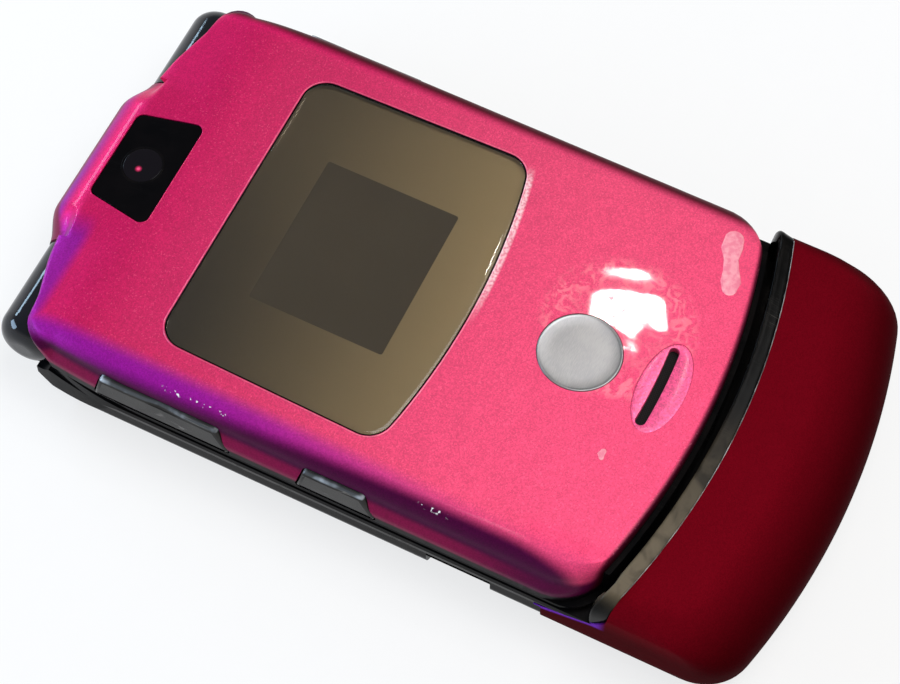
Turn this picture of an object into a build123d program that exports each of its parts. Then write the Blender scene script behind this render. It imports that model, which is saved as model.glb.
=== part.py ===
from build123d import *
import os
from math import atan, cos, degrees, radians, sin, sqrt, tan

# A flip phone, closed and lying on its back.
# X runs across the phone, Y from the chin to the hinge, Z up through the lid.
# The origin is under the middle of the footprint, on the surface the phone lies on.

os.makedirs("parts", exist_ok=True)

# Overall plan, mm
phone_length = 98.0
phone_width = 53.0
bow_radius = 88.0            # every crosswise edge bows toward the chin
knuckle_radius = 5.6         # middle of the hinge, part of the lid
knuckle_flat = 7.5           # half the width at the full radius
knuckle_half = 12.0          # half the whole width of the knuckle
barrel_radius = 3.8          # shoulder barrels of the base
barrel_inset = 1.3           # ends of the barrels inside the widest outline

# Stack of the base, from the back upward
door_thickness = 0.8
battery_thickness = 3.1
sim_thickness = 0.7
board_thickness = 0.6
dome_sheet_thickness = 0.1
dome_height = 0.25
web_thickness = 0.25
key_travel = 0.25
key_thickness = 0.65
key_recess = 0.1             # key tops lie this far under the frame

# Stack of the lid, from the keypad side upward
lid_gap = 0.4
lid_floor = 0.8
main_display_thickness = 1.8
lid_board_thickness = 0.6
outer_display_thickness = 1.7
window_thickness = 0.9
window_recess = 0.05

# Walls and clearances
shell_wall = 1.1
chin_wall = 1.2
seat_gap = 0.05              # between pieces that are fixed to each other
slide_gap = 0.15             # around pieces that slide or turn
swing_gap = 0.3              # around everything that swings with the lid
key_gap = 0.35

# Plan sizes
frame_rail = 3.5             # keypad frame beside the keys
lid_inset = 1.1              # painted shell inside the widest outline
edge_roll = 2.2              # rounded rim of the painted shell
shoulder_slope = 12.0        # degrees, lid running down to the barrels
camera_slope = 5.5           # degrees, lid running down to the knuckle
hump_length = 12.0           # middle of the lid that runs onto the knuckle
skirt_inset = 0.1            # lower edge of the shell inside the widest outline
chin_depth = 14.4            # chin from its end to the black lip
chin_corner = 5.5
lip_width = 1.8
groove_width = 1.05
border_width = 0.7           # black border around the painted shell's end
seam_past_lip = 7.6          # chin cover's seam on the back
arms_past_lip = 12.6         # tips of the chin cover's side arms
battery_length = 38.0
usb_width = 7.7
usb_height = 3.9
usb_depth = 8.0
screw_radius = 0.6
screw_head_radius = 1.1
emblem_radius = 4.9
port_length = 12.0
port_width = 5.6
slot_width = 1.2
nav_radius = 10.0
select_radius = 4.5
side_key_height = 3.4
side_key_slant = 2.0         # how far the upper corners of the side keys are cut back

# Places worked out from the sizes above
half_length = phone_length / 2
half_width = phone_width / 2
chin_end = -half_length
hinge_y = half_length - knuckle_radius

battery_z = door_thickness + slide_gap
sim_z = battery_z + battery_thickness + seat_gap
board_z = sim_z + sim_thickness
parting_z = board_z + board_thickness
dome_z = parting_z + dome_sheet_thickness
web_z = dome_z + dome_height + seat_gap
web_top = web_z + web_thickness
key_z = web_top + key_travel + seat_gap
key_top = key_z + key_thickness
base_top = key_top + key_recess
hinge_z = base_top + 0.5

lid_bottom = base_top + lid_gap
lid_floor_top = lid_bottom + lid_floor
main_display_z = lid_floor_top + 0.1
lid_board_z = main_display_z + main_display_thickness + 0.15
outer_display_z = lid_board_z + lid_board_thickness + 0.1
display_stack = outer_display_z + outer_display_thickness + 0.2 + window_thickness + window_recess
phone_thickness = max(display_stack, hinge_z + knuckle_radius + 0.7)
window_z = phone_thickness - window_recess - window_thickness
tub_top = lid_board_z - 2 * seat_gap         # inner casing, inside the shell
shell_z = lid_bottom + 0.5                   # lower edge of the shell's skirt
shell_under = phone_thickness - shell_wall
band_top = lid_bottom + 2.4                  # widest line of the skirt
rim_top = phone_thickness - 1.7              # black border at the shell's end

lip_outer_y = chin_end + chin_depth
lip_inner_y = lip_outer_y + lip_width
lid_end_y = lip_inner_y + groove_width
shell_end_y = lid_end_y + border_width
seam_y = lip_outer_y + seam_past_lip
arm_y = lip_outer_y + arms_past_lip
keypad_low = lip_inner_y + 3.6
keypad_high = hinge_y - 7.0
keypad_half = half_width - frame_rail
cavity_half = half_width - 5.7
lid_half = half_width - lid_inset
skirt_half = half_width - skirt_inset
frame_end_half = half_width - 2.2            # keypad frame between the chin's arms
shoulder_x = knuckle_half + swing_gap
barrel_end_x = half_width - barrel_inset
door_high = hinge_y - knuckle_radius - 0.8
door_half = cavity_half - 0.8
wrap_angle = 22.0                            # shell past the top of the barrels
wrap_inner = barrel_radius + swing_gap
wrap_outer = wrap_inner + 0.8
wrap_end_y = hinge_y + wrap_outer * sin(radians(wrap_angle))
hinge_axis = Axis((0, hinge_y, hinge_z), (1, 0, 0))
past_all = 2 * phone_length


def bowed(y_middle, x):
    # Height of a bowed crosswise line at x, for its lowest point on the middle line.
    return y_middle + bow_radius - sqrt(bow_radius**2 - x**2)


def bowed_arc(y_middle, left, right):
    # The stretch of a bowed line from left to right.
    middle = (left + right) / 2
    return ThreePointArc(
        (left, bowed(y_middle, left)), (middle, bowed(y_middle, middle)), (right, bowed(y_middle, right))
    )


def bowed_plan(half, low, high, low_corner, high_corner):
    # A plan outline with straight sides, a bowed end at the chin and a straight end at the hinge.
    with BuildSketch() as plan:
        with BuildLine():
            end = bowed_arc(low, -half, half)
            Polyline(end @ 1, (half, high), (-half, high), end @ 0)
        make_face()
        if low_corner > 0:
            fillet(plan.vertices().group_by(Axis.Y)[0], low_corner)
        if high_corner > 0:
            fillet(plan.vertices().group_by(Axis.Y)[-1], high_corner)
    return plan.sketch


def base_plan(half, low, high, corner, hinge_corner=0):
    # Plan of base and lid: straight sides, drawn in toward the hinge as the shoulders are.
    with BuildSketch() as plan:
        with BuildLine():
            end = bowed_arc(low, -half, half)
            right = Line(end @ 1, (half, hinge_y - 17))
            draw_in = ThreePointArc(right @ 1, (half - 0.4, hinge_y - 9), (half - 1.7, high))
            other_draw_in = ThreePointArc(
                (-half, hinge_y - 17), (0.4 - half, hinge_y - 9), (1.7 - half, high)
            )
            Line(draw_in @ 1, other_draw_in @ 1)
            Line(other_draw_in @ 0, end @ 0)
        make_face()
        if corner > 0:
            fillet(plan.vertices().group_by(Axis.Y)[0], corner)
        if hinge_corner > 0:
            fillet(plan.vertices().group_by(Axis.Y)[-1], hinge_corner)
    return plan.sketch


def chin_profile(top_z, inset):
    # Side view of the chin on the middle line, carried on toward the hinge past the arms.
    with BuildSketch() as profile:
        with BuildLine():
            Polyline(
                (arm_y + 4, 0), (arm_y + 4, top_z), (lip_outer_y + 0.2, top_z),
                (chin_end + 6.5, top_z - 0.6), (chin_end, top_z - 4.8), (chin_end, 2.4),
                (chin_end + 4.5, 0), (arm_y + 4, 0),
            )
        make_face()
        for corner, radius in (
            ((chin_end + 6.5, top_z - 0.6), 12), ((chin_end, top_z - 4.8), 5),
            ((chin_end, 2.4), 4), ((chin_end + 4.5, 0), 9),
        ):
            fillet(profile.vertices().sort_by_distance(corner)[0], radius)
        if inset > 0:
            offset(amount=-inset)
    return profile.sketch


def chin_form(inset):
    # The chin: its side profile turned about the centre of the bow, trimmed by its cross section.
    top_z = phone_thickness - 0.7
    bow_centre = chin_end + bow_radius
    half_turn = radians(24)
    first_plane = Plane(
        origin=(0, bow_centre, 0),
        x_dir=(sin(half_turn), cos(half_turn), 0),
        z_dir=(cos(half_turn), -sin(half_turn), 0),
    )
    with BuildPart() as form:
        with BuildSketch(first_plane):
            with Locations((-bow_centre, 0)):
                add(chin_profile(top_z, inset))
        revolve(axis=Axis((0, bow_centre, 0), (0, 0, 1)), revolution_arc=2 * degrees(half_turn))
        with BuildSketch(Plane.XZ) as section:
            with Locations((0, top_z / 2)):
                Rectangle(phone_width, top_z + 0.2)
            fillet(section.vertices().group_by(Axis.Y)[0], 4)
            fillet(section.vertices().group_by(Axis.Y)[-1], 4)
            if inset > 0:
                offset(amount=-inset)
        extrude(amount=half_length + 1, mode=Mode.INTERSECT)
        with BuildSketch(Plane.XY.offset(-1)):
            add(bowed_plan(half_width - inset, chin_end + inset - 0.05, arm_y + 2, chin_corner - inset, 0))
        extrude(amount=phone_thickness + 1, mode=Mode.INTERSECT)
    return form.part


def knuckle_form():
    # The knuckle turned about the hinge axis: full in the middle, waisted to the barrels' size.
    narrow = barrel_radius + 0.1
    with BuildPart() as form:
        with BuildSketch(Plane.XY.offset(hinge_z)):
            with BuildLine():
                top_y = hinge_y + knuckle_radius
                top = Line((-knuckle_flat, top_y), (knuckle_flat, top_y))
                waist = Spline(top @ 1, (knuckle_half, hinge_y + narrow), tangents=((1, 0), (1, 0)))
                mirror(waist, about=Plane.YZ)
                Polyline(
                    waist @ 1, (knuckle_half, hinge_y), (-knuckle_half, hinge_y),
                    (-knuckle_half, hinge_y + narrow),
                )
            make_face()
        revolve(axis=hinge_axis, revolution_arc=360)
    return form.part


def lid_side_profile(slope, radius):
    # Side view of the lid's top: level, then sloping down onto a circle about the hinge.
    run_down = radians(slope)
    last = radians(wrap_angle)
    middle = (run_down + last) / 2
    top_z = phone_thickness
    touch = (hinge_y + radius * sin(run_down), hinge_z + radius * cos(run_down))
    crease_y = touch[0] - (top_z - touch[1]) / tan(run_down)
    with BuildSketch() as profile:
        with BuildLine():
            Polyline(
                (hinge_y, lid_bottom - 1), (lid_end_y - 2, lid_bottom - 1), (lid_end_y - 2, top_z),
                (crease_y, top_z), touch,
            )
            turn = ThreePointArc(
                touch,
                (hinge_y + radius * sin(middle), hinge_z + radius * cos(middle)),
                (hinge_y + radius * sin(last), hinge_z + radius * cos(last)),
            )
            Polyline(turn @ 1, (hinge_y, hinge_z), (hinge_y, lid_bottom - 1))
        make_face()
        fillet(profile.vertices().sort_by_distance((crease_y, top_z))[0], 25)
    return profile.sketch


def lid_section():
    # Cross section of the painted shell: an upright skirt, a crease and a rolled rim.
    crease_x = lid_half + 0.2
    rim_x = lid_half - 0.3
    crease_z = band_top + 1.3
    with BuildSketch() as section:
        with BuildLine():
            right_side = Polyline(
                (0, lid_bottom - 1), (skirt_half, lid_bottom - 1), (skirt_half, band_top),
                (crease_x, crease_z), (rim_x, phone_thickness), (0, phone_thickness),
            )
            mirror(right_side, about=Plane.YZ)
        make_face()
        for side in (-1, 1):
            fillet(section.vertices().sort_by_distance((side * skirt_half, band_top))[0], 0.6)
            fillet(section.vertices().sort_by_distance((side * crease_x, crease_z))[0], 1.5)
            fillet(section.vertices().sort_by_distance((side * rim_x, phone_thickness))[0], edge_roll)
    return section.sketch


def lid_form():
    # The painted shell as a solid block.
    with BuildPart() as form:
        with BuildSketch(Plane.XZ):
            add(lid_section())
        extrude(amount=phone_length, both=True)
        with BuildSketch(Plane.XY.offset(lid_bottom - 2)):
            add(base_plan(half_width, shell_end_y, wrap_end_y, 4.4, 3.2))
        extrude(amount=phone_thickness, mode=Mode.INTERSECT)
        with BuildSketch(Plane.YZ):
            add(lid_side_profile(shoulder_slope, wrap_outer))
        extrude(amount=half_width + 1, both=True, mode=Mode.INTERSECT)
    return form.part


def finish_piece(piece, name):
    piece.part.label = name
    export_step(piece.part, "parts/" + name + ".step")


def hump_form():
    # The raised middle of the lid that runs down onto the knuckle.
    with BuildPart() as form:
        with BuildSketch(Plane.YZ):
            add(lid_side_profile(camera_slope, knuckle_radius))
        extrude(amount=knuckle_half - 2.2, both=True)
        split(bisect_by=Plane.XZ.offset(hump_length - hinge_y), keep=Keep.BOTTOM)
    return form.part


def block(x_low, x_high, y_low, y_high, z_low, z_high, mode=Mode.ADD):
    # A box by its limits.
    with Locations(((x_low + x_high) / 2, (y_low + y_high) / 2, (z_low + z_high) / 2)):
        Box(x_high - x_low, y_high - y_low, z_high - z_low, mode=mode)


def post(x, y, z_low, z_high, radius, mode=Mode.ADD):
    # An upright cylinder by its foot and top.
    with Locations((x, y, (z_low + z_high) / 2)):
        Cylinder(radius, z_high - z_low, mode=mode)


def axle(x_low, x_high, y, z, radius, mode=Mode.ADD):
    # A cylinder lying across the phone.
    with Locations(((x_low + x_high) / 2, y, z)):
        Cylinder(radius, x_high - x_low, rotation=(0, 90, 0), mode=mode)


# ---- Base: places inside the housing ----
cavity_low = seam_y + 1.2
cavity_high = keypad_high - 2.3
housing_end = hinge_y - 1.2
ramp_y = hinge_y - 5.9
floor_top = 1.0
ledge_z = door_thickness + 0.1
ledge_top = ledge_z + 0.9
battery_half = cavity_half - 4.3
battery_high = cavity_high - 3.1
battery_low = battery_high - battery_length
bay_half = battery_half + 0.9
bay_low = battery_low - 0.4
bay_high = battery_high + 0.4
door_low = bay_low - 6.6
usb_y = battery_low - 5.7
usb_z = parting_z - usb_height - 0.2
usb_mouth_x = 2.8 - half_width
usb_inner_x = usb_mouth_x + usb_depth
boss_radius = 1.5
hinge_screw_y = keypad_high - 0.6
chin_screw_y = seam_y - 3.0
base_screws = [(side * battery_half, hinge_screw_y) for side in (-1, 1)]
base_screws += [(side * (cavity_half - 2.8), chin_screw_y) for side in (-1, 1)]
boss_z = 3.2
tongue_z = chin_wall + 0.1
release_y = door_low - 3.4
release_length = 10.0
release_width = 4.0
hook_places = [battery_low + 4.0, battery_high - 10.0]
hook_length = 3.0
door_travel = 8.0

with BuildPart() as rear_housing:
    with BuildSketch():
        add(base_plan(half_width, seam_y + seat_gap, housing_end, 0))
    extrude(amount=parting_z)
    with BuildSketch(Plane.XZ) as housing_section:
        with BuildLine():
            Polyline(
                (2.7 - half_width, 0), (half_width - 2.7, 0), (half_width - 0.35, 2.4),
                (half_width - 0.15, parting_z), (half_width - 0.15, parting_z + 1),
                (0.15 - half_width, parting_z + 1), (0.15 - half_width, parting_z),
                (0.35 - half_width, 2.4), (2.7 - half_width, 0),
            )
        make_face()
        fillet(housing_section.vertices().group_by(Axis.Y)[0], 2.5)
        fillet(housing_section.vertices().sort_by_distance((0.35 - half_width, 2.4))[0], 3.0)
        fillet(housing_section.vertices().sort_by_distance((half_width - 0.35, 2.4))[0], 3.0)
    extrude(amount=phone_length, both=True, mode=Mode.INTERSECT)
    with BuildSketch(Plane.YZ):
        with BuildLine():
            Polyline((ramp_y, 0), (ramp_y + 7, 3.76), (ramp_y + 7, -1), (ramp_y, -1), (ramp_y, 0))
        make_face()
    extrude(amount=half_width, both=True, mode=Mode.SUBTRACT)
    # The board's space, the battery bay under it and the door's slot in the back
    block(-cavity_half, cavity_half, door_low, cavity_high, ledge_top, parting_z, Mode.SUBTRACT)
    block(-cavity_half, cavity_half, cavity_low + 2, door_low + 1, floor_top, parting_z, Mode.SUBTRACT)
    block(-bay_half, bay_half, bay_low, bay_high, 0, ledge_top, Mode.SUBTRACT)
    block(
        -door_half - slide_gap, door_half + slide_gap, door_low - slide_gap, half_length,
        -1, ledge_z, Mode.SUBTRACT,
    )
    for place in hook_places:
        for side in (-1, 1):
            with Locations((side * bay_half, place + door_travel, (ledge_z + ledge_top) / 2)):
                Box(2.2, hook_length + 0.8, 1.0, mode=Mode.SUBTRACT)
    # Tongue under the chin cover, with its screw bosses
    with BuildSketch(Plane.XY.offset(tongue_z)):
        add(bowed_plan(cavity_half, lip_outer_y + 0.8, cavity_low + 2.5, 1.5, 0))
    extrude(amount=1.0)
    for x, y in base_screws:
        post(x, y, ledge_top if y > 0 else tongue_z, boss_z, boss_radius)
        post(x, y, boss_z, parting_z, boss_radius + seat_gap, Mode.SUBTRACT)
        post(x, y, 0, boss_z, screw_radius + seat_gap, Mode.SUBTRACT)
        head_z = ledge_z if y > 0 else tongue_z
        post(x, y, head_z - 0.1, head_z + 0.8, screw_head_radius + 0.1, Mode.SUBTRACT)
    # Release button's window, socket's mouth, seats of the barrels and room for the knuckle
    with BuildSketch(Plane.XY.offset(-1)):
        with Locations((0, release_y)):
            SlotOverall(release_length + 0.3, release_width + 0.3)
    extrude(amount=floor_top + 1, mode=Mode.SUBTRACT)
    block(
        -half_width, usb_inner_x + 0.1, usb_y - usb_width / 2 - 0.1, usb_y + usb_width / 2 + 0.1,
        usb_z - 0.1, parting_z, Mode.SUBTRACT,
    )
    block(
        -shoulder_x, shoulder_x, hinge_y - knuckle_radius - swing_gap - 0.1, half_length,
        -1, parting_z + 1, Mode.SUBTRACT,
    )
    axle(-half_width, half_width, hinge_y, hinge_z, barrel_radius + seat_gap, Mode.SUBTRACT)
finish_piece(rear_housing, "rear_housing")

frame_ledge = 2.0
frame_ledge_z = web_z
lip_top = phone_thickness - 1.0
arm_slope = 7.0

with BuildPart() as front_housing:
    with BuildSketch(Plane.XY.offset(parting_z)):
        add(base_plan(half_width, lip_outer_y + seat_gap, housing_end - 2, 0))
    extrude(amount=base_top - parting_z)
    with BuildSketch(Plane.XZ):
        with BuildLine():
            Polyline(
                (0.15 - half_width, parting_z), (half_width - 0.15, parting_z),
                (half_width, parting_z + 0.9), (half_width, base_top), (-half_width, base_top),
                (-half_width, parting_z + 0.9), (0.15 - half_width, parting_z),
            )
        make_face()
    extrude(amount=phone_length, both=True, mode=Mode.INTERSECT)
    # Seats for the chin cover's arms
    for side in (-1, 1):
        with BuildSketch(Plane.YZ.offset(side * (frame_end_half + half_width) / 2)):
            with BuildLine():
                Polyline(
                    (chin_end, parting_z - 1), (arm_y + seat_gap, parting_z - 1),
                    (arm_y + seat_gap, parting_z), (arm_y + seat_gap - arm_slope, base_top),
                    (arm_y + seat_gap - arm_slope, base_top + 1), (chin_end, base_top + 1),
                    (chin_end, parting_z - 1),
                )
            make_face()
        extrude(amount=(half_width - frame_end_half) / 2, both=True, mode=Mode.SUBTRACT)
    # Keypad opening with the ledge that the web lies on
    with BuildSketch(Plane.XY.offset(frame_ledge_z)):
        add(bowed_plan(keypad_half, keypad_low, keypad_high, 1.5, 1.5))
    extrude(amount=base_top, mode=Mode.SUBTRACT)
    with BuildSketch(Plane.XY.offset(parting_z - 1)):
        add(bowed_plan(keypad_half - frame_ledge, keypad_low + 1.4, keypad_high - 1.4, 1.0, 1.0))
    extrude(amount=base_top, mode=Mode.SUBTRACT)
    # Upstanding lip between the chin and the lid
    with BuildSketch(Plane.XY.offset(base_top - 0.5)):
        with BuildLine():
            outer = bowed_arc(lip_outer_y + seat_gap, -frame_end_half, frame_end_half)
            inner = bowed_arc(lip_inner_y, -frame_end_half, frame_end_half)
            Line(outer @ 0, inner @ 0)
            Line(outer @ 1, inner @ 1)
        make_face()
    extrude(amount=lip_top - base_top + 0.5)
    fillet(front_housing.edges().group_by(Axis.Z)[-1], 0.4)
    for x, y in base_screws:
        post(x, y, boss_z + seat_gap, parting_z + 0.1, boss_radius)
        post(x, y, boss_z, parting_z + 0.3, screw_radius + seat_gap, Mode.SUBTRACT)
    block(
        -shoulder_x, shoulder_x, hinge_y - knuckle_radius - swing_gap - 0.1, half_length,
        -1, base_top + 1, Mode.SUBTRACT,
    )
    axle(-half_width, half_width, hinge_y, hinge_z, barrel_radius + seat_gap, Mode.SUBTRACT)
finish_piece(front_housing, "front_housing")

chin_outer = chin_form(0)
chin_inner = chin_form(chin_wall)
with BuildPart() as chin_cover:
    add(chin_outer)
    add(chin_inner, mode=Mode.SUBTRACT)
    # Open toward the lid above the frame, and between the arms
    with BuildSketch(Plane.XY.offset(base_top)):
        add(bowed_plan(half_width + 1, lip_outer_y, arm_y + 5, 0, 0))
    extrude(amount=phone_thickness, mode=Mode.SUBTRACT)
    with BuildSketch(Plane.XY.offset(parting_z)):
        add(bowed_plan(frame_end_half + seat_gap, lip_outer_y, arm_y + 5, 0, 0))
    extrude(amount=phone_thickness, mode=Mode.SUBTRACT)
    with BuildSketch(Plane.XY.offset(-1)):
        add(bowed_plan(half_width + 1, seam_y, arm_y + 5, 0, 0))
    extrude(amount=parting_z + 1, mode=Mode.SUBTRACT)
    with BuildSketch(Plane.YZ):
        with BuildLine():
            Polyline(
                (arm_y, parting_z - 0.1), (arm_y, parting_z), (arm_y - arm_slope, base_top),
                (arm_y - arm_slope, base_top + 0.1), (arm_y + 5, base_top + 0.1),
                (arm_y + 5, parting_z - 0.1), (arm_y, parting_z - 0.1),
            )
        make_face()
    extrude(amount=half_width + 1, both=True, mode=Mode.SUBTRACT)
finish_piece(chin_cover, "chin_cover")

antenna_room = chin_form(chin_wall + 0.1)
with BuildPart() as antenna:
    with BuildSketch():
        with BuildLine():
            front = bowed_arc(chin_end + 3.4, -half_width + 5.5, half_width - 5.5)
            back = bowed_arc(chin_end + 8.4, -half_width + 5.5, half_width - 5.5)
            Line(front @ 0, back @ 0)
            Line(front @ 1, back @ 1)
        make_face()
    extrude(amount=parting_z + 3)
    add(antenna_room, mode=Mode.INTERSECT)
    with Locations((0, chin_end + 5.9, 0)):
        with GridLocations(12, 1, 3, 1):
            Box(4, 2.4, 3 * phone_thickness, mode=Mode.SUBTRACT)
finish_piece(antenna, "antenna")

with BuildPart() as main_board:
    block(
        -cavity_half + 0.5, cavity_half - 0.5, cavity_low + 2.5, cavity_high - 0.5, board_z, parting_z
    )
    block(
        -half_width, usb_inner_x + 0.2, usb_y - usb_width / 2 - 0.2, usb_y + usb_width / 2 + 0.2,
        board_z - 1, parting_z + 1, Mode.SUBTRACT,
    )
finish_piece(main_board, "main_board")

shield_low = cavity_low + 3.5
with BuildPart() as board_components:
    block(usb_inner_x + 3.7, 6, shield_low, bay_low - 4.5, board_z - 2.4, board_z)
    block(8, cavity_half - 2, shield_low, bay_low - 2.5, board_z - 2.2, board_z)
    for x in (-3, 0, 3):
        block(x - 0.6, x + 0.6, bay_low - 1.6, bay_low - 0.1, ledge_top + 0.1, board_z)
finish_piece(board_components, "board_components")

with BuildPart() as usb_socket:
    block(
        usb_mouth_x, usb_inner_x, usb_y - usb_width / 2, usb_y + usb_width / 2, usb_z, usb_z + usb_height
    )
    block(
        usb_mouth_x - 1, usb_inner_x - 1, usb_y - usb_width / 2 + 0.35, usb_y + usb_width / 2 - 0.35,
        usb_z + 0.35, usb_z + usb_height - 0.35, Mode.SUBTRACT,
    )
    block(usb_mouth_x + 0.6, usb_inner_x - 0.5, usb_y - 2, usb_y + 2, usb_z + 1.5, usb_z + 2.3)
finish_piece(usb_socket, "usb_socket")

with BuildPart() as battery:
    block(-battery_half, battery_half, battery_low, battery_high, battery_z, battery_z + battery_thickness)
    fillet(battery.edges().filter_by(Axis.Y), 0.8)
    for x in (-3, 0, 3):
        block(x - 0.9, x + 0.9, battery_low - 0.5, battery_low + 0.4, battery_z + 1.6, battery_z + 2.6,
              Mode.SUBTRACT)
finish_piece(battery, "battery")

sim_y = (battery_low + battery_high) / 2
with BuildPart() as sim_holder:
    block(-14, 13, sim_y - 9, sim_y + 9, sim_z, board_z)
    block(-12.5, 12.5, sim_y - 7.5, sim_y + 7.5, sim_z - 0.1, sim_z + 0.4, Mode.SUBTRACT)
finish_piece(sim_holder, "sim_holder")

with BuildPart() as battery_door:
    block(-door_half, door_half, door_low, door_high, 0, door_thickness)
    fillet(battery_door.edges().filter_by(Axis.Z), 1.0)
    for place in hook_places:
        for side in (-1, 1):
            hook_low = place - hook_length / 2
            hook_high = place + hook_length / 2
            near, far = sorted((side * (bay_half - 0.65), side * (bay_half - 0.15)))
            block(near, far, hook_low, hook_high, door_thickness / 2, ledge_top + 0.5)
            near, far = sorted((side * (bay_half - 0.65), side * (bay_half + 0.7)))
            block(near, far, hook_low, hook_high, ledge_top + 0.1, ledge_top + 0.5)
finish_piece(battery_door, "battery_door")

with BuildPart() as door_release:
    with BuildSketch(Plane.XY.offset(0.05)):
        with Locations((0, release_y)):
            SlotOverall(release_length, release_width)
    extrude(amount=floor_top + 0.1)
    with BuildSketch(Plane.XY.offset(floor_top + 0.05)):
        with Locations((0, release_y)):
            SlotOverall(release_length + 2, release_width + 2)
    extrude(amount=0.4)
    for x in (-2.2, 0, 2.2):
        with Locations((x, release_y, 0)):
            Box(0.6, 2.4, 0.5, mode=Mode.SUBTRACT)
finish_piece(door_release, "door_release")

with BuildPart() as rear_screws:
    for x, y in base_screws:
        head_z = ledge_z if y > 0 else tongue_z
        post(x, y, head_z + 0.05, head_z + 0.75, screw_head_radius)
        post(x, y, head_z + 0.7, parting_z + 0.1, screw_radius)
        with Locations((x, y, head_z)):
            Box(1.4, 0.3, 0.7, mode=Mode.SUBTRACT)
finish_piece(rear_screws, "rear_screws")

motor_y = lip_outer_y - 2.1
motor_z = chin_wall + 2.2
with BuildPart() as vibration_motor:
    axle(8, 14.5, motor_y, motor_z, 2.0)
    axle(13, 15, motor_y, motor_z, 0.5, Mode.SUBTRACT)
finish_piece(vibration_motor, "vibration_motor")

with BuildPart() as motor_weight:
    axle(15, 18, motor_y, motor_z, 1.8)
    block(14.9, 18.1, motor_y - 2, motor_y + 2, motor_z + 0.5, motor_z + 3, Mode.SUBTRACT)
    axle(13.2, 18, motor_y, motor_z, 0.4)
finish_piece(motor_weight, "motor_weight")

# ---- Hinge ----
cartridge_radius = 2.5
shaft_radius = 1.4
sleeve_radius = 2.0
cartridge_end = barrel_end_x - 3.4
shaft_end = (shoulder_x + cartridge_end) / 2 + 0.55

with BuildPart() as hinge_caps:
    axle(shoulder_x, barrel_end_x, hinge_y, hinge_z, barrel_radius)
    fillet(hinge_caps.edges().sort_by(Axis.X)[-1], 2.6)
    mirror(about=Plane.YZ)
    axle(
        -cartridge_end - 0.1, cartridge_end + 0.1, hinge_y, hinge_z, cartridge_radius + seat_gap,
        Mode.SUBTRACT,
    )
finish_piece(hinge_caps, "hinge_caps")

with BuildPart() as hinge_cartridge:
    axle(shoulder_x + 0.2, cartridge_end, hinge_y, hinge_z, cartridge_radius)
    axle(shoulder_x, shaft_end + 0.3, hinge_y, hinge_z, shaft_radius + slide_gap, Mode.SUBTRACT)
finish_piece(hinge_cartridge, "hinge_cartridge")

hub_x = knuckle_flat + 0.7
with BuildPart() as hinge_shaft:
    axle(hub_x - 1.5, hub_x - seat_gap, hinge_y, hinge_z, 2.4)
    axle(hub_x - 1, shaft_end, hinge_y, hinge_z, shaft_radius)
finish_piece(hinge_shaft, "hinge_shaft")

with BuildPart() as hinge_sleeve:
    axle(-cartridge_end + 1.5, -hub_x + 0.8, hinge_y, hinge_z, sleeve_radius)
    axle(-cartridge_end, -hub_x + 2, hinge_y, hinge_z, sleeve_radius - 0.4, Mode.SUBTRACT)
finish_piece(hinge_sleeve, "hinge_sleeve")

# ---- Keypad ----
keys_half = keypad_half - key_gap / 2
column_x = keys_half * 0.378
top_row_low = keypad_high - 6.9
nav_y = top_row_low - key_gap - nav_radius
call_row_high = nav_y - nav_radius - 0.3
call_row_low = call_row_high - 6.3
digit_rows = 4
digit_pitch = (call_row_low - keypad_low) / digit_rows
nub_radius = 1.1
web_hole_radius = 1.5
columns = [(-keys_half, -column_x), (-column_x, column_x), (column_x, keys_half)]

# Each key's name with its left, right, low and high limits
key_places = {}
for names, low, high in (
    (("soft_key_left", "menu_key", "soft_key_right"), top_row_low, None),
    (("shortcut_key_left", None, "shortcut_key_right"), call_row_high, top_row_low),
    (("send_key", "clear_key", "end_key"), call_row_low, call_row_high),
):
    for name, (left, right) in zip(names, columns):
        if name:
            key_places[name] = (left, right, low, high)
digit_names = ["key_" + label for label in "1 2 3 4 5 6 7 8 9 star 0 hash".split()]
for index, name in enumerate(digit_names):
    row, column = divmod(index, 3)
    high = call_row_low - row * digit_pitch
    key_places[name] = (*columns[column], high - digit_pitch, high)


def key_outline(left, right, low, high):
    # One key between two bowed lines, or up to the straight top of the opening.
    with BuildSketch() as outline:
        with BuildLine():
            bottom = bowed_arc(low, left, right)
            if high is None:
                Polyline(bottom @ 1, (right, keypad_high - 0.1), (left, keypad_high - 0.1), bottom @ 0)
            else:
                top = bowed_arc(high, left, right)
                Line(bottom @ 0, top @ 0)
                Line(bottom @ 1, top @ 1)
        make_face()
        offset(amount=-key_gap / 2, kind=Kind.INTERSECTION)
        fillet(outline.vertices(), 0.7)
    return outline.sketch


def key_centre(left, right, low, high):
    middle = (left + right) / 2
    if high is None:
        return (middle, bowed(low, middle) + 2.2)
    return (middle, bowed((low + high) / 2, middle))


nub_places = [key_centre(*limits) for limits in key_places.values()] + [(0, nav_y)]
nav_nubs = [(8.4, 0), (0, 8.4), (-8.4, 0), (0, -8.4)]

for name, limits in key_places.items():
    with BuildPart() as key:
        with BuildSketch(Plane.XY.offset(key_z)):
            add(key_outline(*limits))
            if name.startswith("shortcut"):
                with Locations((0, nav_y)):
                    Circle(nav_radius + key_gap, mode=Mode.SUBTRACT)
        extrude(amount=key_thickness)
        chamfer(key.edges().group_by(Axis.Z)[-1], 0.12)
        centre = key_centre(*limits)
        post(centre[0], centre[1], key_z - key_travel, key_z + 0.1, nub_radius)
    finish_piece(key, name)

with BuildPart() as select_key:
    post(0, nav_y, key_z, key_top, select_radius)
    chamfer(select_key.edges().group_by(Axis.Z)[-1], 0.12)
    post(0, nav_y, key_z - key_travel, key_z + 0.1, nub_radius)
finish_piece(select_key, "select_key")

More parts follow.
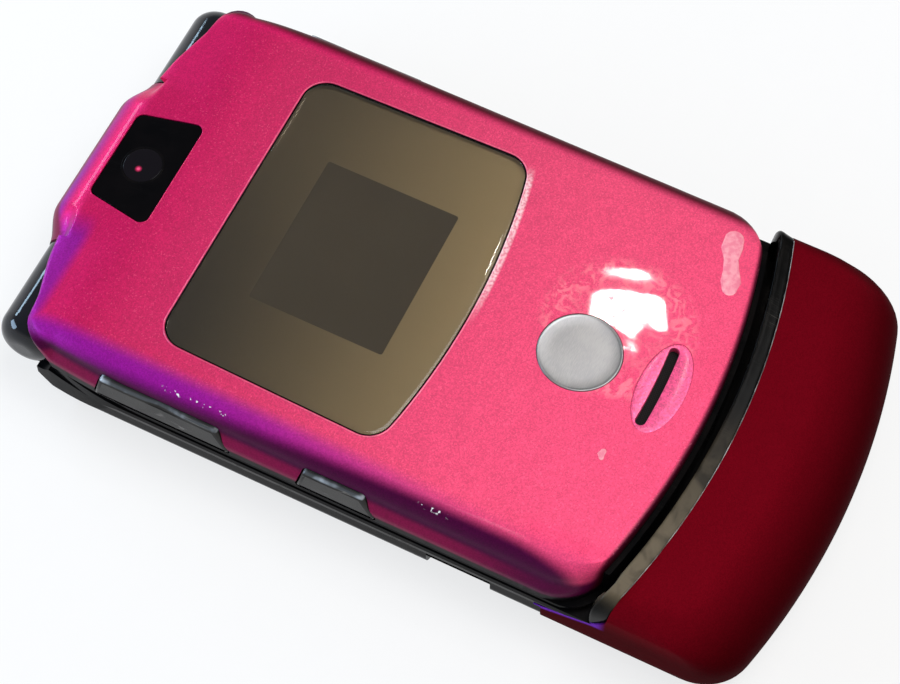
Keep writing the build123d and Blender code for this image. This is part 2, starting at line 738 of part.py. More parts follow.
carrier_inner = select_radius + 0.7
carrier_outer = nav_radius - 3.0
with BuildPart() as nav_carrier:
    post(0, nav_y, web_top + 0.15, web_top + 0.25, carrier_outer)
    post(0, nav_y, web_top, web_top + 1, carrier_inner, Mode.SUBTRACT)
finish_piece(nav_carrier, "nav_carrier")

ring_z = web_top + 0.45
with BuildPart() as nav_ring:
    post(0, nav_y, ring_z, key_top, nav_radius)
    chamfer(nav_ring.edges().group_by(Axis.Z)[-1], 0.15)
    post(0, nav_y, ring_z - 1, key_top + 1, select_radius + 0.3, Mode.SUBTRACT)
    for x, y in nav_nubs:
        post(x, nav_y + y, ring_z - 0.2, ring_z + 0.1, 0.8)
finish_piece(nav_ring, "nav_ring")

with BuildPart() as keypad_web:
    with BuildSketch(Plane.XY.offset(web_z)):
        add(bowed_plan(keypad_half - 0.3, keypad_low + 0.4, keypad_high - 0.4, 1.2, 1.2))
    extrude(amount=web_thickness)
    for x, y in nub_places:
        post(x, y, web_z - 1, web_top + 1, web_hole_radius, Mode.SUBTRACT)
finish_piece(keypad_web, "keypad_web")

with BuildPart() as keypad_dome_sheet:
    with BuildSketch(Plane.XY.offset(parting_z)):
        add(bowed_plan(keypad_half - frame_ledge - 0.4, keypad_low + 1.8, keypad_high - 1.8, 1, 1))
    extrude(amount=dome_sheet_thickness)
    block(
        -half_width, half_width, cavity_high, half_length, parting_z - 1, dome_z + 1, Mode.SUBTRACT
    )
    for x, y in nub_places + [(x, nav_y + y) for x, y in nav_nubs]:
        with Locations((x, y, dome_z + dome_height / 2)):
            Cone(1.9, 1.1, dome_height)
finish_piece(keypad_dome_sheet, "keypad_dome_sheet")

# ---- Lid: places inside ----
lid_cavity_high = keypad_high - 1.0
tub_gap = 0.15                               # inner casing's wall inside the shell
tub_half = lid_half - shell_wall - tub_gap
tub_low = shell_end_y + shell_wall + tub_gap
tub_high = lid_cavity_high - tub_gap
lid_cavity_half = tub_half - 0.65
lid_joint_z = lid_board_z - seat_gap         # where the screw bosses of the lid meet
lid_boss_radius = 1.4
lid_screw_x = lid_half - 4.4
lid_screws_at = [(side * lid_screw_x, shell_end_y + 5.8) for side in (-1, 1)]
lid_screws_at += [(side * lid_screw_x, lid_cavity_high - 2.4) for side in (-1, 1)]
side_key_z = shell_z + 0.2
side_key_top = side_key_z + side_key_height
side_key_face = half_width - 0.02
rocker_y = hinge_y - 19.0
rocker_length = 17.5
smart_key_y = hinge_y - 41.0
smart_key_length = 10.1
side_keys = [
    (-1, rocker_y, rocker_length), (-1, smart_key_y, smart_key_length), (1, rocker_y, rocker_length),
]
window_low = shell_end_y + 29.25
window_high = hinge_y - 14.9
window_half = lid_half - 5.3
emblem_y = shell_end_y + 16.05
port_y = shell_end_y + 5.95
speaker_y = port_y + 1.0
display_low = shell_end_y + 17.0
display_high = lid_cavity_high - 4.5
display_half = lid_half - 6.9
camera_drop = radians(camera_slope)
camera_low = hinge_y - 6.7
camera_high = hinge_y + 1.5
camera_middle = (camera_low + camera_high) / 2
knuckle_crease = hinge_y + knuckle_radius * sin(camera_drop) - (
    phone_thickness - hinge_z - knuckle_radius * cos(camera_drop)
) / tan(camera_drop)
camera_surface = phone_thickness - (camera_middle - knuckle_crease) * tan(camera_drop)


def window_outline(grow):
    # The outer window: bowed toward the chin, narrower and straight toward the hinge.
    with BuildSketch() as outline:
        with BuildLine():
            low = bowed_arc(window_low, -window_half, window_half)
            Polyline(
                low @ 1, (window_half - 0.7, window_high), (0.7 - window_half, window_high), low @ 0
            )
        make_face()
        fillet(outline.vertices(), 3.0)
        if grow != 0:
            offset(amount=grow)
    return outline.sketch


def camera_outline(grow):
    # The camera window, narrower toward the hinge.
    reach = (camera_high - camera_low) / 2
    with BuildSketch() as outline:
        Polygon((-7.5, -reach), (7.5, -reach), (5.95, reach), (-5.95, reach), align=None)
        fillet(outline.vertices(), 1.0)
        if grow != 0:
            offset(amount=grow)
    return outline.sketch


def side_key_outline(y, length, grow):
    # Side view of a key in the lid's side, with its upper corners cut back.
    low = side_key_z - grow
    high = side_key_top + grow
    reach = length / 2 + grow
    with BuildSketch() as outline:
        Polygon(
            (y - reach, low), (y + reach, low), (y + reach - side_key_slant, high),
            (y - reach + side_key_slant, high), align=None,
        )
    return outline.sketch


def port_outline(grow):
    with BuildSketch() as outline:
        Ellipse(port_length / 2 + grow, port_width / 2 + grow)
    return outline.sketch


camera_plane = Plane(
    origin=(0, camera_middle, camera_surface),
    x_dir=(1, 0, 0),
    z_dir=(0, sin(camera_drop), cos(camera_drop)),
)

shell_outer = lid_form()
hump = hump_form()
knuckle = knuckle_form()

side_opening_x = lid_cavity_half - 1.5
side_opening_depth = half_width + 1 - side_opening_x

with BuildPart() as lid_shell:
    add(shell_outer)
    add(hump)
    add(knuckle)
    block(-past_all, past_all, -past_all, past_all, 0, shell_z, Mode.SUBTRACT)
    # Seats of the barrels
    for side in (-1, 1):
        near, far = sorted((side * knuckle_half, side * half_width))
        axle(near, far, hinge_y, hinge_z, wrap_inner, Mode.SUBTRACT)
    # Hollow over the displays, with a rim under the window
    with BuildSketch(Plane.XY.offset(shell_z - 1)):
        add(bowed_plan(lid_half - shell_wall, shell_end_y + shell_wall, lid_cavity_high, 2.9, 1.0))
    extrude(amount=shell_under - shell_z + 1, mode=Mode.SUBTRACT)
    with BuildSketch(Plane.XY.offset(window_z - 0.7)):
        add(window_outline(1.2))
    extrude(amount=shell_under - window_z + 0.8)
    with BuildSketch(Plane.XY.offset(window_z - 1)):
        add(window_outline(-1.5))
    extrude(amount=3, mode=Mode.SUBTRACT)
    with BuildSketch(Plane.XY.offset(window_z - seat_gap)):
        add(window_outline(0.06))
    extrude(amount=3, mode=Mode.SUBTRACT)
    # Camera window and the pocket and bore under it
    with BuildSketch(camera_plane.offset(-window_thickness - 0.05)):
        add(camera_outline(0.06))
    extrude(amount=3, mode=Mode.SUBTRACT)
    block(-5.6, 5.6, camera_low + 0.9, hinge_y + 0.5, hinge_z - 1, window_z - 0.4, Mode.SUBTRACT)
    axle(-hub_x, hub_x, hinge_y, hinge_z, knuckle_radius - 1.2, Mode.SUBTRACT)
    axle(0, past_all, hinge_y, hinge_z, shaft_radius + seat_gap, Mode.SUBTRACT)
    axle(-past_all, 0, hinge_y, hinge_z, sleeve_radius + seat_gap, Mode.SUBTRACT)
    # Badge recess, sound port and screw bosses
    post(0, emblem_y, phone_thickness - 0.5, phone_thickness + 1, emblem_radius + 0.05, Mode.SUBTRACT)
    with BuildSketch(Plane.XY.offset(shell_under - 1)):
        with Locations((0, port_y)):
            add(port_outline(0.06))
    extrude(amount=3, mode=Mode.SUBTRACT)
    for x, y in lid_screws_at:
        post(x, y, lid_joint_z, shell_under + 0.1, lid_boss_radius)
        post(x, y, lid_joint_z - 1, shell_under - 0.3, screw_radius + seat_gap, Mode.SUBTRACT)
    for side, y, length in side_keys:
        with BuildSketch(Plane.YZ.offset(side * side_opening_x)):
            add(side_key_outline(y, length, 0.2))
        extrude(amount=side * side_opening_depth, mode=Mode.SUBTRACT)
finish_piece(lid_shell, "lid_shell")

with BuildPart() as lid_inner_housing:
    with BuildSketch(Plane.XY.offset(lid_bottom)):
        add(base_plan(skirt_half, lid_end_y, hinge_y, 4.4))
    extrude(amount=shell_z - seat_gap - lid_bottom)
    block(-past_all, past_all, hinge_y - 2, past_all, 0, phone_thickness, Mode.SUBTRACT)
    for side in (-1, 1):
        near, far = sorted((side * (knuckle_half - 0.1), side * past_all))
        axle(near, far, hinge_y, hinge_z, wrap_inner, Mode.SUBTRACT)
    add(knuckle)
    block(
        -past_all, past_all, -past_all, past_all, shell_z - seat_gap, phone_thickness + 1,
        Mode.SUBTRACT,
    )
    # Wall inside the shell, and the black border along the shell's end
    with BuildSketch(Plane.XY.offset(lid_bottom)):
        add(bowed_plan(tub_half, tub_low, tub_high, 2.8, 0.9))
    extrude(amount=tub_top - lid_bottom)
    with BuildSketch(Plane.XY.offset(lid_bottom)):
        with BuildLine():
            outer = bowed_arc(lid_end_y, 4.0 - skirt_half, skirt_half - 4.0)
            inner = bowed_arc(shell_end_y - seat_gap, 4.0 - skirt_half, skirt_half - 4.0)
            Line(outer @ 0, inner @ 0)
            Line(outer @ 1, inner @ 1)
        make_face()
    extrude(amount=rim_top - lid_bottom)
    # Hollow, display opening, window recess and earpiece slots
    with BuildSketch(Plane.XY.offset(lid_floor_top)):
        add(bowed_plan(lid_cavity_half, tub_low + 1.0, tub_high - 1.1, 2.2, 0.9))
    extrude(amount=phone_thickness, mode=Mode.SUBTRACT)
    block(
        -display_half + 1, display_half - 1, display_low + 1.5, display_high - 3, 0, lid_floor_top + 0.1,
        Mode.SUBTRACT,
    )
    with BuildSketch(Plane.XY.offset(lid_bottom - 1)):
        with Locations((0, (display_low + display_high) / 2)):
            RectangleRounded(2 * display_half + 2.1, display_high - display_low + 2.1, 1.5)
    extrude(amount=1.6, mode=Mode.SUBTRACT)
    with BuildSketch(Plane.XY.offset(lid_bottom - 1)):
        with Locations((0, speaker_y)):
            with GridLocations(1, 1.5, 1, 3):
                SlotOverall(6.5, 0.8)
    extrude(amount=3, mode=Mode.SUBTRACT)
    axle(-hub_x, hub_x, hinge_y, hinge_z, knuckle_radius - 1.2, Mode.SUBTRACT)
    axle(0, past_all, hinge_y, hinge_z, shaft_radius + seat_gap, Mode.SUBTRACT)
    axle(-past_all, 0, hinge_y, hinge_z, sleeve_radius + seat_gap, Mode.SUBTRACT)
    for x, y in lid_screws_at:
        post(x, y, lid_floor_top - 0.1, tub_top, lid_boss_radius)
        post(x, y, 0, phone_thickness, screw_radius + seat_gap, Mode.SUBTRACT)
        post(x, y, 0, lid_floor_top, screw_head_radius + 0.1, Mode.SUBTRACT)
    for side, y, length in side_keys:
        with BuildSketch(Plane.YZ.offset(side * side_opening_x)):
            add(side_key_outline(y, length, 0.2))
        extrude(amount=side * side_opening_depth, mode=Mode.SUBTRACT)
finish_piece(lid_inner_housing, "lid_inner_housing")

with BuildPart() as outer_window:
    with BuildSketch(Plane.XY.offset(window_z)):
        add(window_outline(0))
    extrude(amount=window_thickness)
    chamfer(outer_window.edges().group_by(Axis.Z)[-1], 0.15)
finish_piece(outer_window, "outer_window")

with BuildPart() as outer_display:
    block(
        10.1 - window_half, window_half - 10.1, window_low + 6.7, window_high - 6.7,
        outer_display_z, outer_display_z + outer_display_thickness,
    )
finish_piece(outer_display, "outer_display")

with BuildPart() as camera_window:
    with BuildSketch(camera_plane.offset(-window_thickness)):
        add(camera_outline(0))
    extrude(amount=window_thickness - window_recess)
    block(-10, 10, hinge_y, half_length, 0, hinge_z + knuckle_radius - 1.6, Mode.SUBTRACT)
finish_piece(camera_window, "camera_window")

camera_y = camera_middle + 0.1
with BuildPart() as camera_module:
    block(-4.5, 4.5, camera_low + 1.2, hinge_y + 0.2, hinge_z + 1, window_z - 1.3)
    post(0, camera_y, window_z - 1.4, window_z - 0.7, 2.6)
    post(0, camera_y, window_z - 1.2, window_z, 1.6, Mode.SUBTRACT)
finish_piece(camera_module, "camera_module")

with BuildPart() as main_display:
    block(
        -display_half, display_half, display_low, display_high,
        main_display_z, main_display_z + main_display_thickness,
    )
finish_piece(main_display, "main_display")

with BuildPart() as display_window:
    with BuildSketch(Plane.XY.offset(lid_bottom)):
        with Locations((0, (display_low + display_high) / 2)):
            RectangleRounded(2 * display_half + 2, display_high - display_low + 2, 1.45)
    extrude(amount=0.55)
finish_piece(display_window, "display_window")

with BuildPart() as lid_board:
    block(
        6.0 - lid_half, lid_half - 6.0, display_low - 1, lid_cavity_high - 0.5,
        lid_board_z, lid_board_z + lid_board_thickness,
    )
finish_piece(lid_board, "lid_board")

speaker_radius = 5.0
with BuildPart() as speaker:
    post(0, speaker_y + 0.6, lid_floor_top + seat_gap, shell_under - 0.35, speaker_radius)
    post(0, speaker_y + 0.6, shell_under - 0.5, shell_under, speaker_radius - 0.8, Mode.SUBTRACT)
finish_piece(speaker, "speaker")

with BuildPart() as speaker_grille:
    with BuildSketch(Plane.XY.offset(shell_under - 0.25)):
        with Locations((0, port_y)):
            add(port_outline(0.5))
    extrude(amount=0.2)
    with BuildSketch(Plane.XY.offset(shell_under - 0.1)):
        with Locations((0, port_y)):
            add(port_outline(0))
    extrude(amount=shell_wall + 0.05)
    with BuildSketch(Plane.XY.offset(shell_under - 1)):
        with BuildLine():
            ThreePointArc((-4.7, port_y + 0.55), (0, port_y + 0.3), (4.7, port_y + 0.55))
        trace(line_width=slot_width)
    extrude(amount=3, mode=Mode.SUBTRACT)
finish_piece(speaker_grille, "speaker_grille")

with BuildPart() as emblem:
    post(0, emblem_y, phone_thickness - 0.45, phone_thickness - 0.02, emblem_radius)
    fillet(emblem.edges().group_by(Axis.Z)[-1], 0.12)
finish_piece(emblem, "emblem")

with BuildPart() as lid_screws:
    for x, y in lid_screws_at:
        post(x, y, lid_floor_top - 0.7, lid_floor_top, screw_head_radius)
        post(x, y, lid_floor_top - 0.1, shell_under - 0.5, screw_radius)
        with Locations((x, y, lid_floor_top - 0.7)):
            Box(1.4, 0.3, 0.5, mode=Mode.SUBTRACT)
finish_piece(lid_screws, "lid_screws")

with BuildPart() as lid_bumpers:
    for x, y in lid_screws_at:
        post(x, y, lid_bottom - lid_gap + 0.08, lid_bottom + 0.05, screw_head_radius + 0.1)
    fillet(lid_bumpers.edges().group_by(Axis.Z)[0], 0.15)
finish_piece(lid_bumpers, "lid_bumpers")


def side_key(y, length):
    # A key in the lid's right side: its cap outside, leaning in at the top, a wider flange inside.
    root = lid_cavity_half - 0.7
    with BuildPart() as key:
        with BuildSketch(Plane.YZ.offset(root)):
            add(side_key_outline(y, length, 0))
        extrude(amount=side_key_face - root)
        with BuildSketch(Plane.XZ.offset(-y)):
            with BuildLine():
                Polyline(
                    (side_key_face, band_top), (side_key_face + 1, band_top),
                    (side_key_face + 1, side_key_top), (side_key_face - 0.6, side_key_top),
                    (side_key_face, band_top),
                )
            make_face()
        extrude(amount=length, both=True, mode=Mode.SUBTRACT)
        fillet(key.faces().sort_by(Axis.X)[-1].edges(), 0.2)
        block(
            root, lid_cavity_half - 0.3, y - length / 2 - 0.6, y + length / 2 + 0.6,
            side_key_z + 0.2, side_key_top,
        )
    return key.part


rocker_body = side_key(rocker_y, rocker_length)
with BuildPart() as volume_rocker:
    mirror(rocker_body, about=Plane.YZ)
    post(-half_width - 4.6, rocker_y, 0, phone_thickness, 5.0, Mode.SUBTRACT)
finish_piece(volume_rocker, "volume_rocker")

smart_body = side_key(smart_key_y, smart_key_length)
with BuildPart() as smart_key:
    mirror(smart_body, about=Plane.YZ)
finish_piece(smart_key, "smart_key")

voice_body = side_key(rocker_y, rocker_length)
with BuildPart() as voice_key:
    add(voice_body)
finish_piece(voice_key, "voice_key")
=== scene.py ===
import math

import bpy
from mathutils import Matrix, Vector


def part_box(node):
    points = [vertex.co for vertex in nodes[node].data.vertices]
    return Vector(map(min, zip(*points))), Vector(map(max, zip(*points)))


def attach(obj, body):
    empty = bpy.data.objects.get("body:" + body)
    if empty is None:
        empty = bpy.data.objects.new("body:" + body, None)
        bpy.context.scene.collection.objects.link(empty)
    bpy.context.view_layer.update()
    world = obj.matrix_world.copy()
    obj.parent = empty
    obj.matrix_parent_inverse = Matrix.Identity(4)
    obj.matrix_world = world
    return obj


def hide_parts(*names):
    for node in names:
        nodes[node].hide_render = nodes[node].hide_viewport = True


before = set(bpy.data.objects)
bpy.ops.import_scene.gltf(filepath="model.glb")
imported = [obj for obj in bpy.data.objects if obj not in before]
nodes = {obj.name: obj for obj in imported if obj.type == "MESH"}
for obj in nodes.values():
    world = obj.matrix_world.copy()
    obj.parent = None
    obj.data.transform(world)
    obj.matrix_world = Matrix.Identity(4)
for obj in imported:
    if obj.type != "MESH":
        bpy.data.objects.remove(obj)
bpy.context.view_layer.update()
mm = 0.001
bow = 88.0   # mm, radius of every crosswise curve toward the chin
print("frame loaded:", len(nodes), "nodes")

# Camera: above the phone's left side, with the hinge to the upper left of the picture
cameraLook = {
    "place": (-123.97, -53.31, 264.88),   # mm
    "aim": (-2.10, 0.05, 7.0),
    "up": (0.7958, 0.3962, 0.4580),   # the picture's upward direction
    "lens": 100.5,
}


def addObject(name, data):
    item = bpy.data.objects.new(name, data)
    bpy.context.scene.collection.objects.link(item)
    return item


def makeCamera(look):
    data = bpy.data.cameras.new("camera")
    data.lens = look["lens"]
    data.clip_start = 0.01
    camera = addObject("camera", data)
    place = Vector(look["place"]) * mm
    back = (place - Vector(look["aim"]) * mm).normalized()
    right = Vector(look["up"]).cross(back).normalized()
    turn = Matrix((right, back.cross(right), back)).transposed()
    camera.matrix_world = Matrix.Translation(place) @ turn.to_4x4()
    bpy.context.scene.camera = camera


# Outlines and meshes, all sizes in mm

def bowAt(x):
    return bow - math.sqrt(bow * bow - x * x)


def smooth(low, high, value):
    t = min(1.0, max(0.0, (value - low) / (high - low)))
    return t * t * (3 - 2 * t)


def sunk(radius, left):
    # How far a rounded corner lies inside its square one, with left to go along it
    return radius - math.sqrt(radius ** 2 - (radius - left) ** 2)


def roundEnd(middle, ahead, radius, start):
    # Half a circle, from an angle measured from the way ahead
    across = Vector((-ahead.y, ahead.x))
    angles = [start + math.pi * k / 6 for k in range(7)]
    return [middle + (ahead * math.cos(a) + across * math.sin(a)) * radius for a in angles]


def roundedPath(corners, steps=8):
    # A closed outline from (x, y, radius) corners
    path = []
    count = len(corners)
    for i, (x, y, radius) in enumerate(corners):
        here = Vector((x, y))
        if radius <= 0:
            path.append((x, y))
            continue
        a = (Vector(corners[i - 1][:2]) - here).normalized()
        b = (Vector(corners[(i + 1) % count][:2]) - here).normalized()
        half = math.acos(max(-1.0, min(1.0, a.dot(b)))) / 2
        reach = radius / math.tan(half)
        middle = here + (a + b).normalized() * (radius / math.sin(half))
        start = here + a * reach - middle
        end = here + b * reach - middle
        turn = math.atan2(start.x * end.y - start.y * end.x, start.dot(end))
        for k in range(steps + 1):
            c, s = math.cos(turn * k / steps), math.sin(turn * k / steps)
            path.append((middle.x + c * start.x - s * start.y, middle.y + s * start.x + c * start.y))
    return path


def grown(path, amount):
    # The same closed outline moved outward by amount; it runs anticlockwise
    result = []
    count = len(path)
    for i, (x, y) in enumerate(path):
        ax, ay = path[i - 1]
        bx, by = path[(i + 1) % count]
        out = Vector((by - ay, ax - bx)).normalized()
        result.append((x + out.x * amount, y + out.y * amount))
    return result


def ovalPath(rx, ry, count=96, cx=0.0, cy=0.0):
    angles = [2 * math.pi * k / count for k in range(count)]
    return [(cx + rx * math.cos(a), cy + ry * math.sin(a)) for a in angles]


def atHeight(path, z):
    return [(x, y, z) for x, y in path]


def stack(outline, layers, lay=atHeight):
    # Loops for a loft: outline(size) laid at each height
    return [lay(outline(size), height) for size, height in layers]


def smoothTo(mesh, degrees):
    # Smooth shading, with edges kept sharp where faces meet at a larger angle
    mesh.shade_smooth()
    mesh.set_sharp_from_angle(angle=math.radians(degrees))


def makeMesh(name, points, faces, sharp=35):
    mesh = bpy.data.meshes.new(name)
    mesh.from_pydata([(x * mm, y * mm, z * mm) for x, y, z in points], [], faces)
    mesh.validate()
    smoothTo(mesh, sharp)
    return addObject(name, mesh)


def gridFaces(rows, count):
    # Faces over rows of count points each
    return [(r * count + k, r * count + k + 1, (r + 1) * count + k + 1, (r + 1) * count + k)
            for r in range(rows - 1) for k in range(count - 1)]


def skinFaces(first, loops, count, ring=False, caps=True):
    # Faces over closed loops of count points each, from point number first
    faces = []
    for a in range(loops if ring else loops - 1):
        here, there = first + a * count, first + (a + 1) % loops * count
        for k in range(count):
            m = (k + 1) % count
            faces.append((here + k, here + m, there + m, there + k))
    if caps and not ring:
        faces.append(tuple(first + k for k in reversed(range(count))))
        faces.append(tuple(first + (loops - 1) * count + k for k in range(count)))
    return faces


def loft(name, loops, ring=False, caps=True, sharp=35):
    # Skin over loops of equal length; ring joins the last loop to the first
    points = [p for loop in loops for p in loop]
    piece = makeMesh(name, points, skinFaces(0, len(loops), len(loops[0]), ring, caps), sharp)
    for face in piece.data.polygons:
        if len(face.vertices) > 4:
            face.use_smooth = False
    return piece


def prism(path, low, high):
    return loft("cut", [atHeight(path, low), atHeight(path, high)])


def applyModifiers(piece):
    graph = bpy.context.evaluated_depsgraph_get()
    mesh = bpy.data.meshes.new_from_object(piece.evaluated_get(graph))
    old = piece.data
    piece.modifiers.clear()
    piece.data = mesh
    bpy.data.meshes.remove(old)


def cutWith(piece, cutters):
    for cutter in cutters:
        change = piece.modifiers.new("cut", "BOOLEAN")
        change.operation = "DIFFERENCE"
        change.solver = "EXACT"
        change.object = cutter
    applyModifiers(piece)
    for cutter in cutters:
        bpy.data.objects.remove(cutter)


finishes = {}   # every finish made below, by name


def place(piece, body, slot, finishName, *replaced):
    piece.data.materials.clear()
    piece.data.materials.append(finishes[finishName])
    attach(piece, body)
    if replaced:
        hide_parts(*replaced)


def finish(finishName, *names):
    # Puts a finish on CAD pieces
    for name in names:
        for slot in nodes[name].material_slots:
            slot.material = finishes[finishName]


# Node helpers; each finds its node tree from the sockets that it is given

def isSocket(value):
    return isinstance(value, bpy.types.NodeSocket)


def treeOf(*values):
    return next(value.id_data for value in values if isSocket(value))


def link(value, socket):
    value.id_data.links.new(value, socket)


def addNode(kind, inputs=None, tree=None, **settings):
    inputs = inputs or {}
    node = (tree or treeOf(*inputs.values())).nodes.new(kind)
    for key, value in settings.items():
        setattr(node, key, value)
    for key, value in inputs.items():
        if isSocket(value):
            link(value, node.inputs[key])
        elif node.inputs[key].type == "RGBA":
            node.inputs[key].default_value = (*value, 1.0)
        else:
            node.inputs[key].default_value = value
    return node


def mathNode(operation, *values):
    # Two values or more, taken one after another
    result = values[0]
    for value in values[1:]:
        node = addNode("ShaderNodeMath", {0: result, 1: value}, operation=operation)
        result = node.outputs[0]
    return result


def plus(*values):
    return mathNode("ADD", *values)


def minus(a, b):
    return mathNode("SUBTRACT", a, b)


def times(*values):
    return mathNode("MULTIPLY", *values)


def most(*values):
    return mathNode("MAXIMUM", *values)


def sizeOf(value):
    return mathNode("ABSOLUTE", value, 0.0)


def ramp(value, low, high, toLow=0.0, toHigh=1.0, smoothly=True):
    return addNode("ShaderNodeMapRange", {
        "Value": value, "From Min": low, "From Max": high, "To Min": toLow, "To Max": toHigh,
    }, interpolation_type="SMOOTHSTEP" if smoothly else "LINEAR").outputs["Result"]


def within(value, low, high, toLow=0.0, toHigh=1.0, smoothly=True):
    # A ramp between two places in mm
    return ramp(value, low * mm, high * mm, toLow, toHigh, smoothly)


def mixColor(factor, a, b, kind="MIX"):
    node = addNode("ShaderNodeMix", {0: factor}, treeOf(factor, a, b), data_type="RGBA", blend_type=kind)
    for value, socket in ((a, node.inputs[6]), (b, node.inputs[7])):
        if isSocket(value):
            link(value, socket)
        else:
            socket.default_value = (*value, 1.0)
    return node.outputs[2]


def noiseAt(point, scale, detail, distortion=0.0):
    return addNode("ShaderNodeTexNoise", {
        "Vector": point, "Scale": scale, "Detail": detail, "Distortion": distortion}).outputs[0]


def newGroup(name, inputs, outputs):
    # A shared effect: inputs are (name, default) with a colour, vector or number as default
    tree = bpy.data.node_groups.new(name, "ShaderNodeTree")
    for label, default in inputs:
        kind = "NodeSocketFloat"
        if label == "Vector":
            kind = "NodeSocketVector"
        elif isinstance(default, tuple):
            kind = "NodeSocketColor"
        socket = tree.interface.new_socket(name=label, in_out="INPUT", socket_type=kind)
        if kind == "NodeSocketColor":
            socket.default_value = (*default, 1.0)
        elif kind == "NodeSocketFloat":
            socket.default_value = default
    for label in outputs:
        kind = "NodeSocketColor" if label == "Color" else "NodeSocketFloat"
        tree.interface.new_socket(name=label, in_out="OUTPUT", socket_type=kind)
    return tree, tree.nodes.new("NodeGroupInput").outputs, tree.nodes.new("NodeGroupOutput").inputs


def useGroup(group, inputs):
    return addNode("ShaderNodeGroup", inputs, node_tree=group).outputs


def makeFlakeGroup():
    # Metal flakes in paint: each small cell a little lighter or darker
    tree, given, out = newGroup("paintFlake", [
        ("Vector", None), ("Cells per metre", 7000.0), ("Color", (1, 1, 1)), ("Contrast", 0.3)],
        ["Color", "Glint"])
    cells = addNode("ShaderNodeTexVoronoi", {"Vector": given["Vector"], "Scale": given["Cells per metre"]})
    chance = addNode("ShaderNodeSeparateColor", {0: cells.outputs["Color"]}).outputs[0]
    cloud = noiseAt(given["Vector"], 420.0, 3.0)
    drift = times(minus(cloud, 0.5), 0.35)
    both = times(plus(minus(chance, 0.5), drift), given["Contrast"])
    level = plus(times(both, 2.0), 1.0)
    grey = addNode("ShaderNodeCombineColor", {0: level, 1: level, 2: level}).outputs[0]
    link(mixColor(1.0, given["Color"], grey, "MULTIPLY"), out["Color"])
    link(ramp(chance, 0.93, 0.99), out["Glint"])
    return tree


def makeFilmGroup():
    # Handling marks: soft smears and finger grease that dull a gloss here and there
    tree, given, out = newGroup("handlingFilm", [
        ("Vector", None), ("Marks per metre", 90.0), ("Amount", 0.1)], ["Roughness"])
    wide = noiseAt(given["Vector"], given["Marks per metre"], 4.0, 1.2)
    fine = noiseAt(given["Vector"], 1400.0, 2.0)
    broken = times(ramp(wide, 0.48, 0.72), ramp(fine, 0.3, 0.65))
    link(times(broken, given["Amount"]), out["Roughness"])
    return tree


def makeScratchGroup():
    # Hair scratches in three directions
    tree, given, out = newGroup("hairScratches", [("Vector", None), ("Density", 0.5)], ["Mask"])
    lines = []
    for angle, scale in ((0.5, 160.0), (-0.9, 210.0), (1.4, 130.0)):
        across = addNode("ShaderNodeMapping", {
            "Vector": given["Vector"], "Rotation": (0.0, 0.0, angle), "Scale": (14.0, 0.35, 1.0)})
        edge = sizeOf(minus(noiseAt(across.outputs[0], scale, 1.0), 0.5))
        lines.append(ramp(edge, 0.0, 0.006, 1.0, 0.0))
    breaks = noiseAt(given["Vector"], 240.0, 2.0)
    link(times(most(*lines), ramp(breaks, 0.52, 0.64), given["Density"]), out["Mask"])
    return tree


def makePeelGroup():
    # Slow unevenness of a sprayed or moulded surface, as a height
    tree, given, out = newGroup("surfacePeel", [
        ("Vector", None), ("Bumps per metre", 700.0), ("Fine", 0.25)], ["Height"])
    slow = noiseAt(given["Vector"], given["Bumps per metre"], 1.0)
    quick = noiseAt(given["Vector"], 5200.0, 1.0)
    link(plus(slow, times(quick, given["Fine"])), out["Height"])
    return tree


flakeGroup = makeFlakeGroup()
filmGroup = makeFilmGroup()
scratchGroup = makeScratchGroup()
peelGroup = makePeelGroup()
print("shared effects ready")


def newMaterial(name, **constants):
    # A material with a Principled BSDF whose fixed values are set on its own sockets
    material = bpy.data.materials.new(name)
    material.use_nodes = True
    tree = material.node_tree
    shader = next(n for n in tree.nodes if n.type == "BSDF_PRINCIPLED")
    for key, value in constants.items():
        label = "".join(" " + c if c.isupper() else c for c in key).strip()
        label = {"ior": "IOR", "Specular": "Specular IOR Level", "Coat": "Coat Weight"}.get(label, label)
        shader.inputs[label].default_value = value
    finishes[name] = material
    return shader, addNode("ShaderNodeTexCoord", tree=tree).outputs["Object"]


def partsOf(point):
    return addNode("ShaderNodeSeparateXYZ", {0: point}).outputs


def feed(shader, name, value):
    link(value, shader.inputs[name])


def bumpFrom(shader, height, distance):
    bump = addNode("ShaderNodeBump", {"Height": height, "Distance": distance, "Strength": 1.0})
    feed(shader, "Normal", bump.outputs[0])


def flakesOn(point, color, contrast, cells=7000.0):
    return useGroup(flakeGroup, {
        "Vector": point, "Color": color, "Contrast": contrast, "Cells per metre": cells})


def filmOn(point, marks, amount):
    return useGroup(filmGroup, {"Vector": point, "Marks per metre": marks, "Amount": amount})["Roughness"]


def peelOn(shader, point, bumps, fine, depth):
    peel = useGroup(peelGroup, {"Vector": point, "Bumps per metre": bumps, "Fine": fine})
    bumpFrom(shader, peel["Height"], depth)


# Finishes

lidPaintLook = {
    "pink": (0.62, 0.010, 0.108),
    "litTowardChin": (0.75, 0.062, 0.158),
    "violetReflection": (0.30, 0.008, 0.27),
    "crimson": (0.050, 0.0015, 0.006),
    "plum": (0.060, 0.0015, 0.034),
    "foot": (0.20, 0.006, 0.050),
    "end": (0.070, 0.002, 0.014),
    "edge": (0.004, 0.003, 0.004),
    "glint": (0.95, 0.30, 0.42),
    "chip": (0.92, 0.88, 0.90),
    "smearAndSheen": (0.95, 0.34, 0.36),
    "paleHighlight": (0.95, 0.62, 0.66),
    "flake": 0.15,
    "stain": (4.7, -17.6, 7.3),   # mm, middle and radius of an old ring stain
    "windowHighlight": 2.15,   # mm, how far the painted highlight line lies from the middle, toward the chin
}


